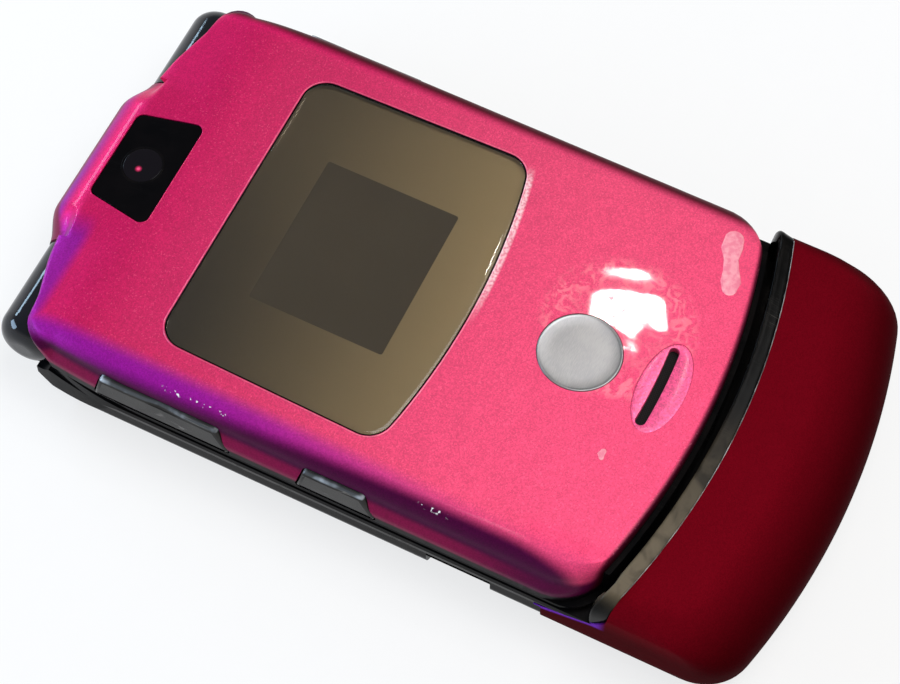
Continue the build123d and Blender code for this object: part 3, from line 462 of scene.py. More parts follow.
def rolledColor(look, point, alongBow):
    # Pink, painted lighter toward the chin; violet painted on the rolled edges, most of all at the hinge on
    # the left, as a painted reflection of bluish light; the rolls and sides below them painted darker as
    # painted shade, and the foot near black
    x, y, z = partsOf(point)
    left = times(x, -1.0)
    # Painted light: the pink gets lighter toward the chin
    color = mixColor(within(y, 40, -12), look["pink"], look["litTowardChin"])
    # Violet painted on the left roll, at the hinge end and on the left shoulder: a painted reflection of
    # bluish light
    side = times(within(left, 21.4, 23.6), within(y, -20, 26, 0.10, 1.0))
    end = times(within(y, 46.0, 47.6), within(x, 6, -6, 0.6, 1.0))
    shoulder = times(within(y, 41.3, 43.0), within(x, -8, -12, 0.0, 0.95))
    color = mixColor(most(side, end, shoulder), color, look["violetReflection"])
    # Painted shade: the far roll turns crimson
    color = mixColor(within(x, 22.8, 24.3, 0.0, 0.97), color, look["crimson"])
    # Painted shade: the left roll turns dark plum, and near the chin the pink runs further down the roll
    lower = within(y, -17, -29, 0.0, 1.2 * mm)
    reach = minus(plus(left, within(y, -12, 30, 0.0, -1.2 * mm)), lower)
    color = mixColor(within(reach, 23.0, 24.6), color, look["plum"])
    # Painted shade: the sides below the roll turn dark plum, except at the hinge
    low = times(within(plus(z, lower), 12.8, 11.6), within(y, 43.2, 42.0))
    color = mixColor(low, color, look["plum"])
    # Painted shade: the left side's lower band turns dark wine red, less of it toward the chin
    skirt = times(within(z, 11.4, 10.6), within(x, 20, 10), within(y, -24, -10, 0.15, 1.0))
    color = mixColor(skirt, color, look["foot"])
    # Painted shade on the end toward the chin
    color = mixColor(within(alongBow, -30.35, -30.90), color, look["end"])
    return mixColor(within(z, 9.4, 8.7), color, look["edge"])


def chipGlintMask(point):
    # Pale chips worn into the left roll in two places, painted near white as the glints they catch
    x, y = partsOf(point)[:2]
    chips = ramp(noiseAt(point, 2300.0, 2.0), 0.59, 0.63)
    onRoll = times(within(x, -24.25, -24.4), within(x, -24.8, -24.6))
    where = plus(within(sizeOf(minus(y, 20.6 * mm)), 4.8, 3.0), within(sizeOf(plus(y, 8.7 * mm)), 2.1, 1.2))
    return times(chips, where, onRoll)


def makeLidPaint(look, name="lidPaint"):
    shader, point = newMaterial(name, CoatRoughness=0.03, Specular=0.06)
    x, y, z = partsOf(point)
    side = sizeOf(x)
    alongBow = plus(y, times(x, x, -5.68))   # y taken back to the middle line along the bow
    color = rolledColor(look, point, alongBow)
    flake = flakesOn(point, color, look["flake"])
    # Painted highlight: a few flakes are painted lighter, as sparkles
    glint = times(flake["Glint"], within(z, 12.9, 13.6), within(side, 23.8, 22.2), 0.09)
    color = mixColor(glint, flake["Color"], look["glint"])
    color = mixColor(chipGlintMask(point), color, look["chip"])
    # The ring stain: broken smears, painted pale pink as the sheen they catch around the bulb's reflection
    # (a painted highlight), and a little smoother
    cx, cy, radius = (v * mm for v in look["stain"])
    away = addNode("ShaderNodeVectorMath", {0: point, 1: (cx, cy, 13.9 * mm)}, operation="DISTANCE")
    away = away.outputs["Value"]
    band = within(sizeOf(minus(away, radius)), 2.4, 0.6)
    inside = ramp(away, radius * 1.02, radius * 0.75, 0.0, 0.55)
    smearAndSheen = noiseAt(point, 620.0, 4.0, 1.6)
    stain = times(most(band, inside), ramp(smearAndSheen, 0.44, 0.60))
    color = mixColor(times(stain, 0.30), color, look["smearAndSheen"])
    # A pale painted highlight along the window's edge toward the chin, broken into patches
    fromEdge = sizeOf(plus(alongBow, look["windowHighlight"] * mm))
    patchy = noiseAt(point, 2800.0, 4.0)
    windowHighlight = times(within(fromEdge, 0.65, 0.25), within(x, -3, 5), within(x, 20, 17),
                   ramp(patchy, 0.36, 0.62, 0.35, 1.0))
    feed(shader, "Base Color", mixColor(windowHighlight, color, look["paleHighlight"]))
    feed(shader, "Roughness", minus(plus(filmOn(point, 70.0, 0.10), 0.40), times(stain, 0.12)))
    # The clear coat is whole on top, thin on the sides, the hinge slope and the left corner
    # toward the chin, and dulled by the stain
    level = most(within(z, 13.80, 13.84, 0.04, 1.0), within(y, 27, 33))
    chinCorner = times(within(times(x, -1.0), 19.6, 21.4), within(y, -16, -21))
    coat = times(within(y, 45, 47, 1.0, 0.12), within(alongBow, -30.8, -30.0, 0.05, 1.0),
                 within(side, 22.2, 23.6, 1.0, 0.03), level, within(y, 30, 40, 1.0, 0.2),
                 ramp(chinCorner, 0.0, 1.0, 1.0, 0.03))
    dull = times(ramp(smearAndSheen, 0.60, 0.64), ramp(away, radius * 1.5, radius * 1.1, 0.0, 0.8))
    feed(shader, "Coat Weight", times(coat, minus(1.0, dull)))
    feed(shader, "Metallic", times(within(side, 21.8, 23.6, 0.45, 0.12), ramp(level, 0.0, 1.0, 0.3, 1.0)))
    peelOn(shader, point, 520.0, 0.10, 0.00004)


chinPaintLook = {
    "crimson": (0.135, 0.0016, 0.0065),
    "tip": (0.034, 0.0005, 0.0018),
    "violetReflection": (0.16, 0.030, 0.42),
    "flake": 0.12,
}
doorPaintLook = {"crimson": (0.13, 0.003, 0.010), "tip": (0.11, 0.002, 0.008), "flake": 0.12}


def makeChinPaint(look, name="chinPaint"):
    shader, point = newMaterial(name, Metallic=0.07, Specular=0.0)
    x, y, z = partsOf(point)
    alongBow = plus(y, times(x, x, -5.7))
    # Painted shade: darker toward the tip, low down and on the far side
    color = mixColor(within(alongBow, -40.5, -50.0), look["crimson"], look["tip"])
    color = mixColor(within(z, 11.5, 6.0, 0.0, 0.8), color, look["tip"])
    color = mixColor(within(x, 23.8, 25.8, 0.0, 0.85), color, look["tip"])
    if "violetReflection" in look:
        # The arm's upper edge on the left is painted violet, a painted reflection of bluish light
        armTop = within(y, -22, -29, 5.4 * mm, 7.1 * mm, False)
        edge = times(within(minus(z, armTop), -0.7, -0.2), within(y, -30.6, -29.2), within(x, -20.0, -23.5))
        color = mixColor(edge, color, look["violetReflection"])
    feed(shader, "Base Color", flakesOn(point, color, look["flake"], 9000.0)["Color"])
    feed(shader, "Roughness", plus(filmOn(point, 60.0, 0.14), 0.34))
    peelOn(shader, point, 900.0, 0.35, 0.00003)


blackLooks = {
    "glossBlack": {
        "color": (0.003, 0.003, 0.0035), "other": (0.006, 0.005, 0.005), "roughness": 0.12, "film": 0.16,
        "specular": 0.012, "scratches": 0.25, "wear": (0.03, 0.027, 0.024)},
    "innerBlack": {
        "color": (0.010, 0.010, 0.011), "other": (0.016, 0.016, 0.017), "roughness": 0.38, "film": 0.10,
        "specular": 0.4, "scratches": 0.4, "wear": (0.10, 0.09, 0.08), "bumps": 1600.0, "depth": 0.00003},
    "barrelBlack": {
        "color": (0.003, 0.004, 0.007), "other": (0.006, 0.006, 0.010), "roughness": 0.05, "film": 0.06,
        "specular": 0.35, "scratches": 0.2, "wear": (0.05, 0.05, 0.055)},
    "sideKeyBlack": {
        "color": (0.012, 0.011, 0.011), "other": (0.026, 0.024, 0.022), "roughness": 0.14, "film": 0.12,
        "specular": 0.25, "scratches": 0.5, "wear": (0.22, 0.20, 0.18), "rubbed": (0.42, 0.47, 0.52)},
    "pianoBlack": {
        "color": (0.0015, 0.0015, 0.002), "other": (0.003, 0.0025, 0.003), "roughness": 0.05, "film": 0.05,
        "specular": 0.05, "scratches": 0.10, "wear": (0.02, 0.02, 0.02)},
    "lipGloss": {
        "color": (0.002, 0.002, 0.002), "other": (0.005, 0.0045, 0.004), "roughness": 0.16, "film": 0.20,
        "specular": 0.05, "scratches": 0.35, "wear": (0.09, 0.08, 0.07), "grease": (0.150, 0.120, 0.080)},
}


def makeBlackPlastic(look, name):
    # Moulded black plastic, from polished to soft, with hair scratches worn a little paler
    shader, point = newMaterial(name, Specular=look["specular"])
    scratches = useGroup(scratchGroup, {"Vector": point, "Density": look["scratches"]})["Mask"]
    color = mixColor(ramp(noiseAt(point, 260.0, 3.0), 0.3, 0.7), look["color"], look["other"])
    if "grease" in look:
        # A grey-brown painted sheen, strongest toward the left corner
        x = partsOf(point)[0]
        streak = noiseAt(point, 330.0, 3.0, 0.5)
        sheenMask = times(within(x, 4, -20), within(x, -26.2, -24.0), ramp(streak, 0.30, 0.62, 0.35, 1.0))
        color = mixColor(sheenMask, color, look["grease"])
    if "rubbed" in look:
        # The upper edge painted bright in places: a painted highlight
        z = partsOf(point)[2]
        broken = noiseAt(point, 330.0, 2.0)
        band = times(within(z, 11.20, 11.4), within(z, 11.62, 11.5), ramp(broken, 0.47, 0.66, 0.12, 1.0))
        color = mixColor(band, color, look["rubbed"])
    feed(shader, "Base Color", mixColor(scratches, color, look["wear"]))
    film = filmOn(point, 110.0, look["film"])
    feed(shader, "Roughness", plus(film, look["roughness"], times(scratches, 0.2)))
    peelOn(shader, point, look.get("bumps", 500.0), 0.2, look.get("depth", 0.00002))


metalLooks = {
    "badgeMetal": {
        "color": (0.25, 0.25, 0.26), "other": (0.32, 0.315, 0.32), "roughness": 0.33, "grain": 1500.0,
        "brush": (1.0, 9.0, 1.0), "depth": 0.000004},
    "edgeWear": {
        "color": (0.09, 0.08, 0.078), "other": (0.36, 0.33, 0.32), "roughness": 0.36, "grain": 900.0},
    "keypadMetal": {
        "color": (0.37, 0.38, 0.41), "other": (0.41, 0.42, 0.45), "roughness": 0.33, "grain": 2600.0,
        "spread": 0.01, "brush": (0.08, 1.0, 1.0), "depth": 0.000006},
    "steel": {"color": (0.42, 0.42, 0.43), "other": (0.52, 0.51, 0.50), "roughness": 0.3},
    "shieldSteel": {
        "color": (0.50, 0.50, 0.50), "other": (0.60, 0.60, 0.58), "roughness": 0.38, "grain": 1200.0},
    "domeSteel": {"color": (0.46, 0.46, 0.44), "other": (0.54, 0.53, 0.50), "roughness": 0.28},
}


def makeMetal(look, name):
    # Turned, brushed or plated metal; brush stretches the grain along one axis
    shader, point = newMaterial(name, Metallic=1.0, Specular=0.5)
    brush = addNode("ShaderNodeMapping", {"Vector": point, "Scale": look.get("brush", (1.0, 1.0, 1.0))})
    grain = noiseAt(brush.outputs[0], look.get("grain", 3000.0), 3.0)
    factor = times(plus(grain, noiseAt(point, 300.0, 2.0)), 0.5)
    feed(shader, "Base Color", mixColor(ramp(factor, 0.35, 0.65), look["color"], look["other"]))
    rough, spread = look["roughness"], look.get("spread", 0.03)
    feed(shader, "Roughness", ramp(factor, 0.35, 0.65, rough - spread, rough + spread, False))
    bumpFrom(shader, grain, look.get("depth", 0.00001))


plainLooks = {
    "webRubber": {"color": (0.025, 0.045, 0.085), "other": (0.035, 0.058, 0.105), "roughness": 0.6},
    "batteryCase": {"color": (0.040, 0.040, 0.044), "other": (0.056, 0.056, 0.060), "roughness": 0.5},
    "softBlack": {"color": (0.016, 0.016, 0.016), "other": (0.026, 0.026, 0.026), "roughness": 0.8},
    "antennaPlastic": {"color": (0.32, 0.30, 0.25), "other": (0.38, 0.36, 0.30), "roughness": 0.5},
    "driedGlue": {
        "color": (0.88, 0.20, 0.30), "other": (0.95, 0.33, 0.40), "roughness": 0.22, "specular": 0.5,
        "scale": 1500.0},
    "figureBlue": {"color": (0.030, 0.055, 0.110), "other": (0.042, 0.072, 0.135), "roughness": 0.4},
    "figureGreen": {"color": (0.04, 0.45, 0.10), "other": (0.06, 0.55, 0.14), "roughness": 0.35},
    "figureRed": {"color": (0.60, 0.03, 0.03), "other": (0.72, 0.05, 0.04), "roughness": 0.35},
}


def makePlain(look, name):
    # Matt and moulded parts: two close colours, grain and a little unevenness
    shader, point = newMaterial(name, Specular=look.get("specular", 0.3), Metallic=0.0)
    tone = noiseAt(point, look.get("scale", 600.0), 4.0)
    feed(shader, "Base Color", mixColor(ramp(tone, 0.35, 0.65), look["color"], look["other"]))
    feed(shader, "Roughness", ramp(tone, 0.3, 0.7, look["roughness"] - 0.06, look["roughness"] + 0.06))
    bumpFrom(shader, tone, 0.00002)


def makeWindowGlass():
    # Smoked glass with the lightest haze
    shader, point = newMaterial("smokedGlass", BaseColor=(0.80, 0.765, 0.69, 1), Metallic=0.0,
                                TransmissionWeight=1.0, ior=1.45, Specular=0.4)
    feed(shader, "Roughness", ramp(noiseAt(point, 60.0, 1.0), 0.35, 0.7, 0.004, 0.009))


windowBackLook = {
    "light": (0.68, 0.52, 0.300),
    "dark": (0.046, 0.038, 0.029),
}


def makeWindowBack(look):
    # The half mirror behind the glass: brown grey, with painted light making it lighter toward the chin and
    # the far side
    shader, point = newMaterial("mirrorFoil", Metallic=0.35, Roughness=0.3, Specular=0.3)
    x, y = partsOf(point)[:2]
    along = mathNode("POWER", within(y, 29, -6, 0.0, 1.0, False), 1.4)
    mottle = times(minus(noiseAt(point, 2600.0, 1.0), 0.5), 0.03)
    shade = plus(times(along, 0.82), within(x, -19, 19, 0.0, 0.16), mottle)
    feed(shader, "Base Color", mixColor(shade, look["dark"], look["light"]))
    feed(shader, "Roughness", ramp(noiseAt(point, 45.0, 1.0), 0.3, 0.7, 0.29, 0.32))


def makeDisplayFace(name, color, lines):
    # A display that is off: dark, with its rows of dots just showing
    shader, point = newMaterial(name, Roughness=0.15, Specular=0.5)
    rows, columns = (addNode("ShaderNodeTexWave", {"Vector": point, "Scale": lines}, bands_direction=way)
                     for way in "YX")
    mottle = noiseAt(point, 120.0, 2.0)
    lighter = tuple(min(1.0, c * 1.35 + 0.002) for c in color)
    dots = times(rows.outputs[1], columns.outputs[1], 0.35)
    feed(shader, "Base Color", mixColor(plus(dots, times(mottle, 0.6)), color, lighter))
    feed(shader, "Roughness", ramp(mottle, 0.3, 0.7, 0.10, 0.20))


displayWindowLook = {
    "open": (17.2, 21.2),   # mm, half the clear opening, across and along
    "middle": 8.55,   # mm, the opening's middle along the lid
    "border": (0.004, 0.004, 0.005),
    "dark": (0.030, 0.034, 0.040),
    "lit": (0.040, 0.045, 0.052),
}


def makeDisplayWindow(look):
    # Clear window over the main display, with its black printed border
    shader, point = newMaterial("displayWindow", Specular=0.4)
    x, y = partsOf(point)[:2]
    across, along = look["open"]
    inside = times(within(sizeOf(x), across, across - 0.2),
                   within(sizeOf(minus(y, look["middle"] * mm)), along, along - 0.2))
    rows = addNode("ShaderNodeTexWave", {"Vector": point, "Scale": 1500.0}, bands_direction="Y")
    screen = mixColor(times(rows.outputs[1], 0.5), look["dark"], look["lit"])
    feed(shader, "Base Color", mixColor(inside, look["border"], screen))
    feed(shader, "Roughness", plus(filmOn(point, 90.0, 0.04), 0.06))


def makeBoard():
    # Circuit board: green resist over faint tracks
    shader, point = newMaterial("boardResist", Specular=0.5, Roughness=0.4)
    bricks = addNode("ShaderNodeTexBrick", {
        "Vector": point, "Scale": 450.0, "Color1": (0.020, 0.10, 0.045), "Color2": (0.028, 0.13, 0.06),
        "Mortar": (0.012, 0.065, 0.03), "Mortar Size": 0.04})
    feed(shader, "Base Color", bricks.outputs["Color"])
    bumpFrom(shader, bricks.outputs["Fac"], 0.00002)


def makePortPaint():
    shader, point = newMaterial("portPaint", Metallic=0.5, Roughness=0.45, Coat=0.35, CoatRoughness=0.15)
    flake = flakesOn(point, (0.84, 0.085, 0.24), 0.26, 5200.0)
    feed(shader, "Base Color", flake["Color"])
    feed(shader, "Roughness", plus(times(flake["Glint"], -0.2), 0.46))


def makeScreenCloth():
    # Black woven screen behind the sound slots
    shader, point = newMaterial("screenCloth", Roughness=0.8, Specular=0.2)
    weave = addNode("ShaderNodeTexChecker", {
        "Vector": point, "Scale": 6000.0, "Color1": (0.004, 0.004, 0.004), "Color2": (0.014, 0.014, 0.014)})
    feed(shader, "Base Color", weave.outputs["Color"])


lensLook = {
    "middle": (-0.9, 41.1),   # mm, where the painted red reflection shows
    "glass": (0.004, 0.003, 0.005),
    "redReflection": (0.55, 0.02, 0.09),
    "core": (1.0, 0.20, 0.38),
}


def makeLensCoat(look):
    # Coated lens glass: near black, with a painted red reflection toward its middle and a small glowing
    # core
    shader, point = newMaterial("lensCoat", Specular=0.16, Roughness=0.04)
    x, y = partsOf(point)[:2]
    dx, dy = (minus(value, place * mm) for value, place in zip((x, y), look["middle"]))
    away = mathNode("SQRT", plus(times(dx, dx), times(dy, dy)), 0.0)
    feed(shader, "Base Color", mixColor(within(away, 0.50, 0.15), look["glass"], look["redReflection"]))
    # A small pink core is made to glow: painted light
    core = within(away, 0.26, 0.12)
    feed(shader, "Emission Color", mixColor(core, (0.0, 0.0, 0.0), look["core"]))
    shader.inputs["Emission Strength"].default_value = 0.35


makeLidPaint(lidPaintLook)
# A lighter copy of the lid paint for the bead round the window: a painted highlight
makeLidPaint(dict(lidPaintLook, pink=(0.74, 0.045, 0.16), litTowardChin=(0.90, 0.17, 0.28)), "rimHighlightPaint")
makeChinPaint(chinPaintLook)
makeChinPaint(doorPaintLook, "doorPaint")
for make, looks in ((makeBlackPlastic, blackLooks), (makeMetal, metalLooks), (makePlain, plainLooks)):
    for name, look in looks.items():
        make(look, name)
makeWindowGlass()
makeWindowBack(windowBackLook)
makeDisplayFace("outerDisplayFace", (0.078, 0.061, 0.040), 1400.0)
makeDisplayFace("mainDisplayFace", (0.020, 0.022, 0.026), 1500.0)
makeDisplayWindow(displayWindowLook)
makePortPaint()
makeScreenCloth()
makeLensCoat(lensLook)
makeBoard()
print("finishes ready:", len(finishes))


# The painted lid

lidShape = {
    "top": 13.86, "foot": 8.0, "half": 26.4, "end": -31.05, "straightFrom": 33.0, "shoulderEnd": 42.95,
    "hinge": (43.4, 7.6), "knuckle": 5.6, "neck": 3.9, "shoulder": 4.9, "seat": 4.1,
    "knuckleSlope": 5.5, "shoulderSlope": 12.0, "wrap": 22.0, "chinCorner": 4.4, "hingeCorner": 3.2,
    "wall": 0.9,
    "knuckleHalf": 12, "sheet": 13.9,   # the knuckle's half width and the height of the flat sheet
    "roll": (23.27, 2.2),   # where the rolled side starts, and its radius
}


def lidColumns(shape):
    # From the middle line outward: (x on the flat, how far the rolled side lies below the top)
    flat = list(range(7)) + [7 + k / 2 for k in range(10)]
    flat += [11.99, 12.1, 12.6, 13.4, 14.5, 16, 17.5, 19, 20.5, 21.8, 22.6]
    columns = [(x, 0.0) for x in flat]
    start, radius = shape["roll"]
    for k in range(11):
        angle = math.radians(90 - 79.5 * k / 10)
        columns.append((start + radius * math.cos(angle), radius - radius * math.sin(angle)))
    skirt = ((25.50, 11.75), (25.58, 11.40), (25.70, 11.08), (25.90, 10.75), (26.15, 10.35),
             (26.32, 10.05), (26.39, 9.80), (26.4, 9.4), (26.4, 8.8), (26.4, 8.0))
    columns += [(x, shape["sheet"] - z) for x, z in skirt]
    return [(-x, drop) for x, drop in reversed(columns[1:])] + columns


def lidInset(y, fromEnd, shape):
    # How far the side lies inside its widest line at y
    inset = 0.0
    corner = shape["chinCorner"]
    if fromEnd < corner:
        inset += sunk(corner, fromEnd)
    along = y - 26.4
    if along > 0:
        inset += max(0.0, 0.0203 * along + 0.003712 * along ** 2 - 0.1)
    corner = shape["hingeCorner"]
    left = shape["shoulderEnd"] + 0.45 - y
    if left < corner:
        inset += sunk(corner, max(0.0, left))
    return inset


def lidX(x, inset, shape):
    # What lies further out than keep moves in with the side
    keep = 15.0
    if abs(x) < keep:
        return x
    half = shape["half"]
    return math.copysign(keep + (abs(x) - keep) * (half - inset - keep) / (half - keep), x)


def lidRadius(x, angle, shape):
    # Distance of the lid's outside from the hinge line at x
    knuckle = shape["knuckle"]
    shoulder = knuckle - (knuckle - shape["shoulder"]) * smooth(7.5, 13.0, abs(x))
    if abs(x) > shape["knuckleHalf"]:
        return shoulder
    neck = knuckle - (knuckle - shape["neck"]) * smooth(7.5, 12.4, abs(x))
    return shoulder + (neck - shoulder) * smooth(10, shape["wrap"] + 4, angle)


def aroundHinge(x, degrees, shape):
    # A place on the knuckle: (y, z) at an angle past the top of the hinge
    radius = lidRadius(x, degrees, shape)
    angle = math.radians(degrees)
    return shape["hinge"][0] + radius * math.sin(angle), shape["hinge"][1] + radius * math.cos(angle)


def lidTop(x, y, shape):
    # Height of the lid's top before it reaches the hinge: level, then sloping down
    low, high = shape["knuckleSlope"], shape["shoulderSlope"]
    slope = math.radians(low + (high - low) * smooth(8, 13, abs(x)))
    radius = lidRadius(x, 0, shape)
    touchY = shape["hinge"][0] + radius * math.sin(slope)
    touchZ = shape["hinge"][1] + radius * math.cos(slope)
    crease = touchY - (shape["top"] - touchZ) / math.tan(slope)
    reach = min(25 * math.tan(slope / 2), touchY - crease - 0.2)
    bend = reach / math.tan(slope / 2)
    if y < crease - reach:
        z = shape["top"]
    elif y < crease + reach:
        z = shape["top"] - (y - crease + reach) ** 2 / (2 * bend)
    elif y < touchY:
        z = shape["top"] - (y - crease) * math.tan(slope)
    else:
        slope = math.asin(min(1.0, (y - shape["hinge"][0]) / radius))
        z = shape["hinge"][1] + radius * math.cos(slope)
    return z, touchY, math.degrees(slope)


def lidFoot(y, shape):
    # Lower edge of the side: level, then over the barrel
    away = y - shape["hinge"][0]
    if away < -4.08:
        return shape["foot"]
    return shape["hinge"][1] + math.sqrt(max(0.0, shape["seat"] ** 2 - away ** 2))


def lidRipple(x, y):
    # Unevenness of the pressed sheet, a few thousandths of a millimetre deep
    wave = math.sin(1.45 * x + 0.5 * y) + math.sin(1.2 * y - 0.6 * x) + math.sin(0.8 * x - 1.0 * y + 1.0)
    return 0.0032 * (wave + 3)


def lidRows():
    # From the end face over its edge, along the flat and down to the hinge: (part, how far, height)
    rows = [("face", 0.0, z) for z in (8.0, 9.5, 11.0, 12.2, 13.0, 13.60)]
    rows += [("face", dy, dz) for dy, dz in ((0.02, 13.74), (0.06, 13.80), (0.12, 13.85), (0.20, 13.9))]
    steps = [0.7, 1.2, 1.8, 2.5, 3.3, 4.4] + [5.4 + k for k in range(58)]
    rows += [("flat", d / 64.05, 0) for d in steps if d < 63.5] + [("flat", 1.0, 0)]
    rows += [("slope", k / 18, 0) for k in range(1, 19)]
    return rows + [("arc", k / 8, 0) for k in range(1, 9)]


def pastFlat(x, drop, kind, share, shape):
    # A point on the slope, or on the arc where it meets the hinge
    lastY, slope = lidTop(x, 0, shape)[1:]
    shoulder = abs(x) > shape["knuckleHalf"]
    if shoulder:
        lastY = shape["shoulderEnd"] + 0.19 * (24.4 - min(24.4, abs(x)))
        slope = lidTop(x, lastY, shape)[2]
    if kind == "slope":
        py = shape["straightFrom"] + (lastY - shape["straightFrom"]) * share
        pz = lidTop(x, py, shape)[0]
    elif shoulder:
        # Its end rolls over above the hinge barrel
        turn = math.radians(slope + (84 - slope) * share)
        first = math.radians(slope)
        py = lastY + 0.5 * (math.sin(turn) - math.sin(first))
        pz = lidTop(x, lastY, shape)[0] - 0.5 * (math.cos(first) - math.cos(turn))
    else:
        py, pz = aroundHinge(x, slope + (shape["wrap"] - slope) * share, shape)
    px = lidX(x, lidInset(py, 99, shape), shape)
    return px, py, pz - drop * (pz - lidFoot(py, shape)) / (shape["top"] - shape["foot"])


def lidPoint(x, drop, row, shape):
    kind, a, b = row
    if kind == "face":
        px = lidX(x, lidInset(-31, a, shape), shape)
        return px, shape["end"] + bowAt(px) + a, min(b, shape["top"] - drop)
    if kind == "flat":
        startY = shape["end"] + bowAt(x)
        py = startY + (shape["straightFrom"] - startY) * a
        px = lidX(x, lidInset(py, py - startY, shape), shape)
        py += (bowAt(px) - bowAt(x)) * (1 - a)
        return px, py, shape["top"] - drop - lidRipple(px, py)
    return pastFlat(x, drop, kind, a, shape)


def buildLid(shape):
    columns = lidColumns(shape)
    rows = lidRows()
    count = len(columns)
    points = [lidPoint(x, drop, row, shape) for row in rows for x, drop in columns]
    faces = gridFaces(len(rows), count)
    # The knuckle goes on round the hinge between the shoulders
    middle = [k for k, (x, drop) in enumerate(columns) if abs(x) < shape["knuckleHalf"]]
    previous = [(len(rows) - 1) * count + k for k in middle]
    for step in range(1, 17):
        angle = shape["wrap"] + (85.9 - shape["wrap"]) * step / 16
        row = list(range(len(points), len(points) + len(middle)))
        points += [(columns[k][0], *aroundHinge(columns[k][0], angle, shape)) for k in middle]
        faces += [(previous[k], previous[k + 1], row[k + 1], row[k]) for k in range(len(middle) - 1)]
        previous = row
    return makeMesh("paintedLid", points, faces)


windowShape = {"low": -1.8, "high": 28.5, "lowHalf": 20.1, "highHalf": 19.4, "corner": 3.0}


def windowPath(grow, shape=windowShape):
    low, high, radius = shape["lowHalf"], shape["highHalf"], shape["corner"]
    cornerY = shape["low"] + bowAt(low)
    corners = [(-low, cornerY, radius)]
    corners += [(x, shape["low"] + bowAt(x), 0) for x in range(-16, 17, 2)]
    corners += [(low, cornerY, radius), (high, shape["high"], radius), (-high, shape["high"], radius)]
    return grown(roundedPath(corners), grow)


cameraShape = {
    "y": 40.8, "z": 13.475, "slope": 5.5,
    "corners": [(-7.5, -4.1, 1.0), (7.5, -4.1, 1.0), (5.95, 4.1, 1.0), (-5.95, 4.1, 1.0)],
    "lens": (-0.25, 0.1),
}


def cameraPath(grow):
    return grown(roundedPath(cameraShape["corners"], 6), grow)


def lensPath(radius):
    return ovalPath(radius, radius, 48, *cameraShape["lens"])


def onCamera(path, height, shape=cameraShape):
    # Lays a flat outline on the sloping camera window
    slope = math.radians(shape["slope"])
    return [(x, shape["y"] + v * math.cos(slope) + height * math.sin(slope),
             shape["z"] - v * math.sin(slope) + height * math.cos(slope)) for x, v in path]


badgeShape = {"y": -15.0, "opening": 4.95}
portShape = {"y": -25.1, "length": 12.0, "width": 5.6, "gap": 0.015, "slotHalf": 5.3, "slotWidth": 1.2}


def badgePath(radius):
    return ovalPath(radius, radius, 96, 0, badgeShape["y"])


def portPath(grow):
    return ovalPath(portShape["length"] / 2 + grow, portShape["width"] / 2 + grow, 96, 0, portShape["y"])


sideKeys = {
    # name: side, middle along the phone, length
    "volume_rocker": (-1, 24.4, 17.5),
    "smart_key": (-1, 2.4, 10.1),
    "voice_key": (1, 24.4, 17.5),
}


def sideKeyPath(y, length, grow):
    # Side view of a key, steep toward the hinge and tapered toward the chin
    reach = length / 2
    low, high = 8.2, 11.6
    corners = [(y - reach, low, 0.35), (y + reach, low, 0.35), (y + reach - 0.8, high, 0.6)]
    corners += [(y + reach - 1.6 - (length - 4.2) * k / 8, high, 0) for k in range(9)]
    corners += [(y - reach + 2.0, high, 0.6)]
    return grown(roundedPath(corners, 4), grow)


openingGaps = {"window": 0.06, "camera": 0.06, "sideKey": 0.15}   # mm


def cutOpenings(lid, gaps):
    flat = windowPath(gaps["window"]), badgePath(badgeShape["opening"]), portPath(portShape["gap"])
    cutters = [prism(path, 12.0, 15.0) for path in flat]
    cutters.append(loft("cut", [onCamera(cameraPath(gaps["camera"]), height) for height in (-1.6, 1.0)]))
    for side, y, length in sideKeys.values():
        path = sideKeyPath(y, length, gaps["sideKey"])
        loops = [[(side * x, a, b) for a, b in path] for x in (23.0, 28.0)]
        if side < 0:
            loops.reverse()
        cutters.append(loft("cut", loops))
    cutWith(lid, cutters)


def thicken(piece, wall):
    thick = piece.modifiers.new("wall", "SOLIDIFY")
    thick.thickness = wall * mm
    thick.offset = -1.0
    thick.use_even_offset = False
    applyModifiers(piece)


lid = buildLid(lidShape)
thicken(lid, lidShape["wall"])
cutOpenings(lid, openingGaps)
smoothTo(lid.data, 38)
place(lid, "lid", "lid_paint", "lidPaint", "lid_shell")
print("lid built:", len(lid.data.polygons), "faces")


def bead(name, path, height, radius, lay=atHeight):
    # A thin closed bead along an outline
    loops = []
    for k in range(8):
        angle = math.pi * k / 4
        c, s = radius * math.cos(angle), radius * math.sin(angle)
        loops.append([(p[0] + (b[0] - a[0]) * c, p[1] + (b[1] - a[1]) * c, p[2] + s)
                      for p, a, b in zip(lay(path, height), path, grown(path, 1.0))])
    return loft(name, loops, ring=True, sharp=80)


# Window: bevelled glass, a dark seal round it, the half mirror and the display behind it
windowLayers = ((-0.10, 12.98), (0.0, 13.02), (0.0, 13.72), (-0.12, 13.82), (-0.40, 13.86), (-0.60, 13.865))
backingLayers = ((-0.05, 12.86), (-0.05, 12.95))
displayCorners = [(-10.0, 4.9, 0.3), (10.0, 4.9, 0.3), (10.0, 21.8, 0.3), (-10.0, 21.8, 0.3)]
display = roundedPath(displayCorners, 4)
place(loft("windowGlass", stack(windowPath, windowLayers)),
      "lid", "smoked_window", "smokedGlass", "outer_window")
place(loft("windowBacking", stack(windowPath, backingLayers)), "lid", "smoked_window", "mirrorFoil")
place(loft("windowDisplay", [atHeight(display, 12.90), atHeight(display, 12.965)]),
      "lid", "display_glass", "outerDisplayFace")
place(bead("windowSeal", windowPath(0.0), 13.77, 0.12), "lid", "black_gloss", "pianoBlack")
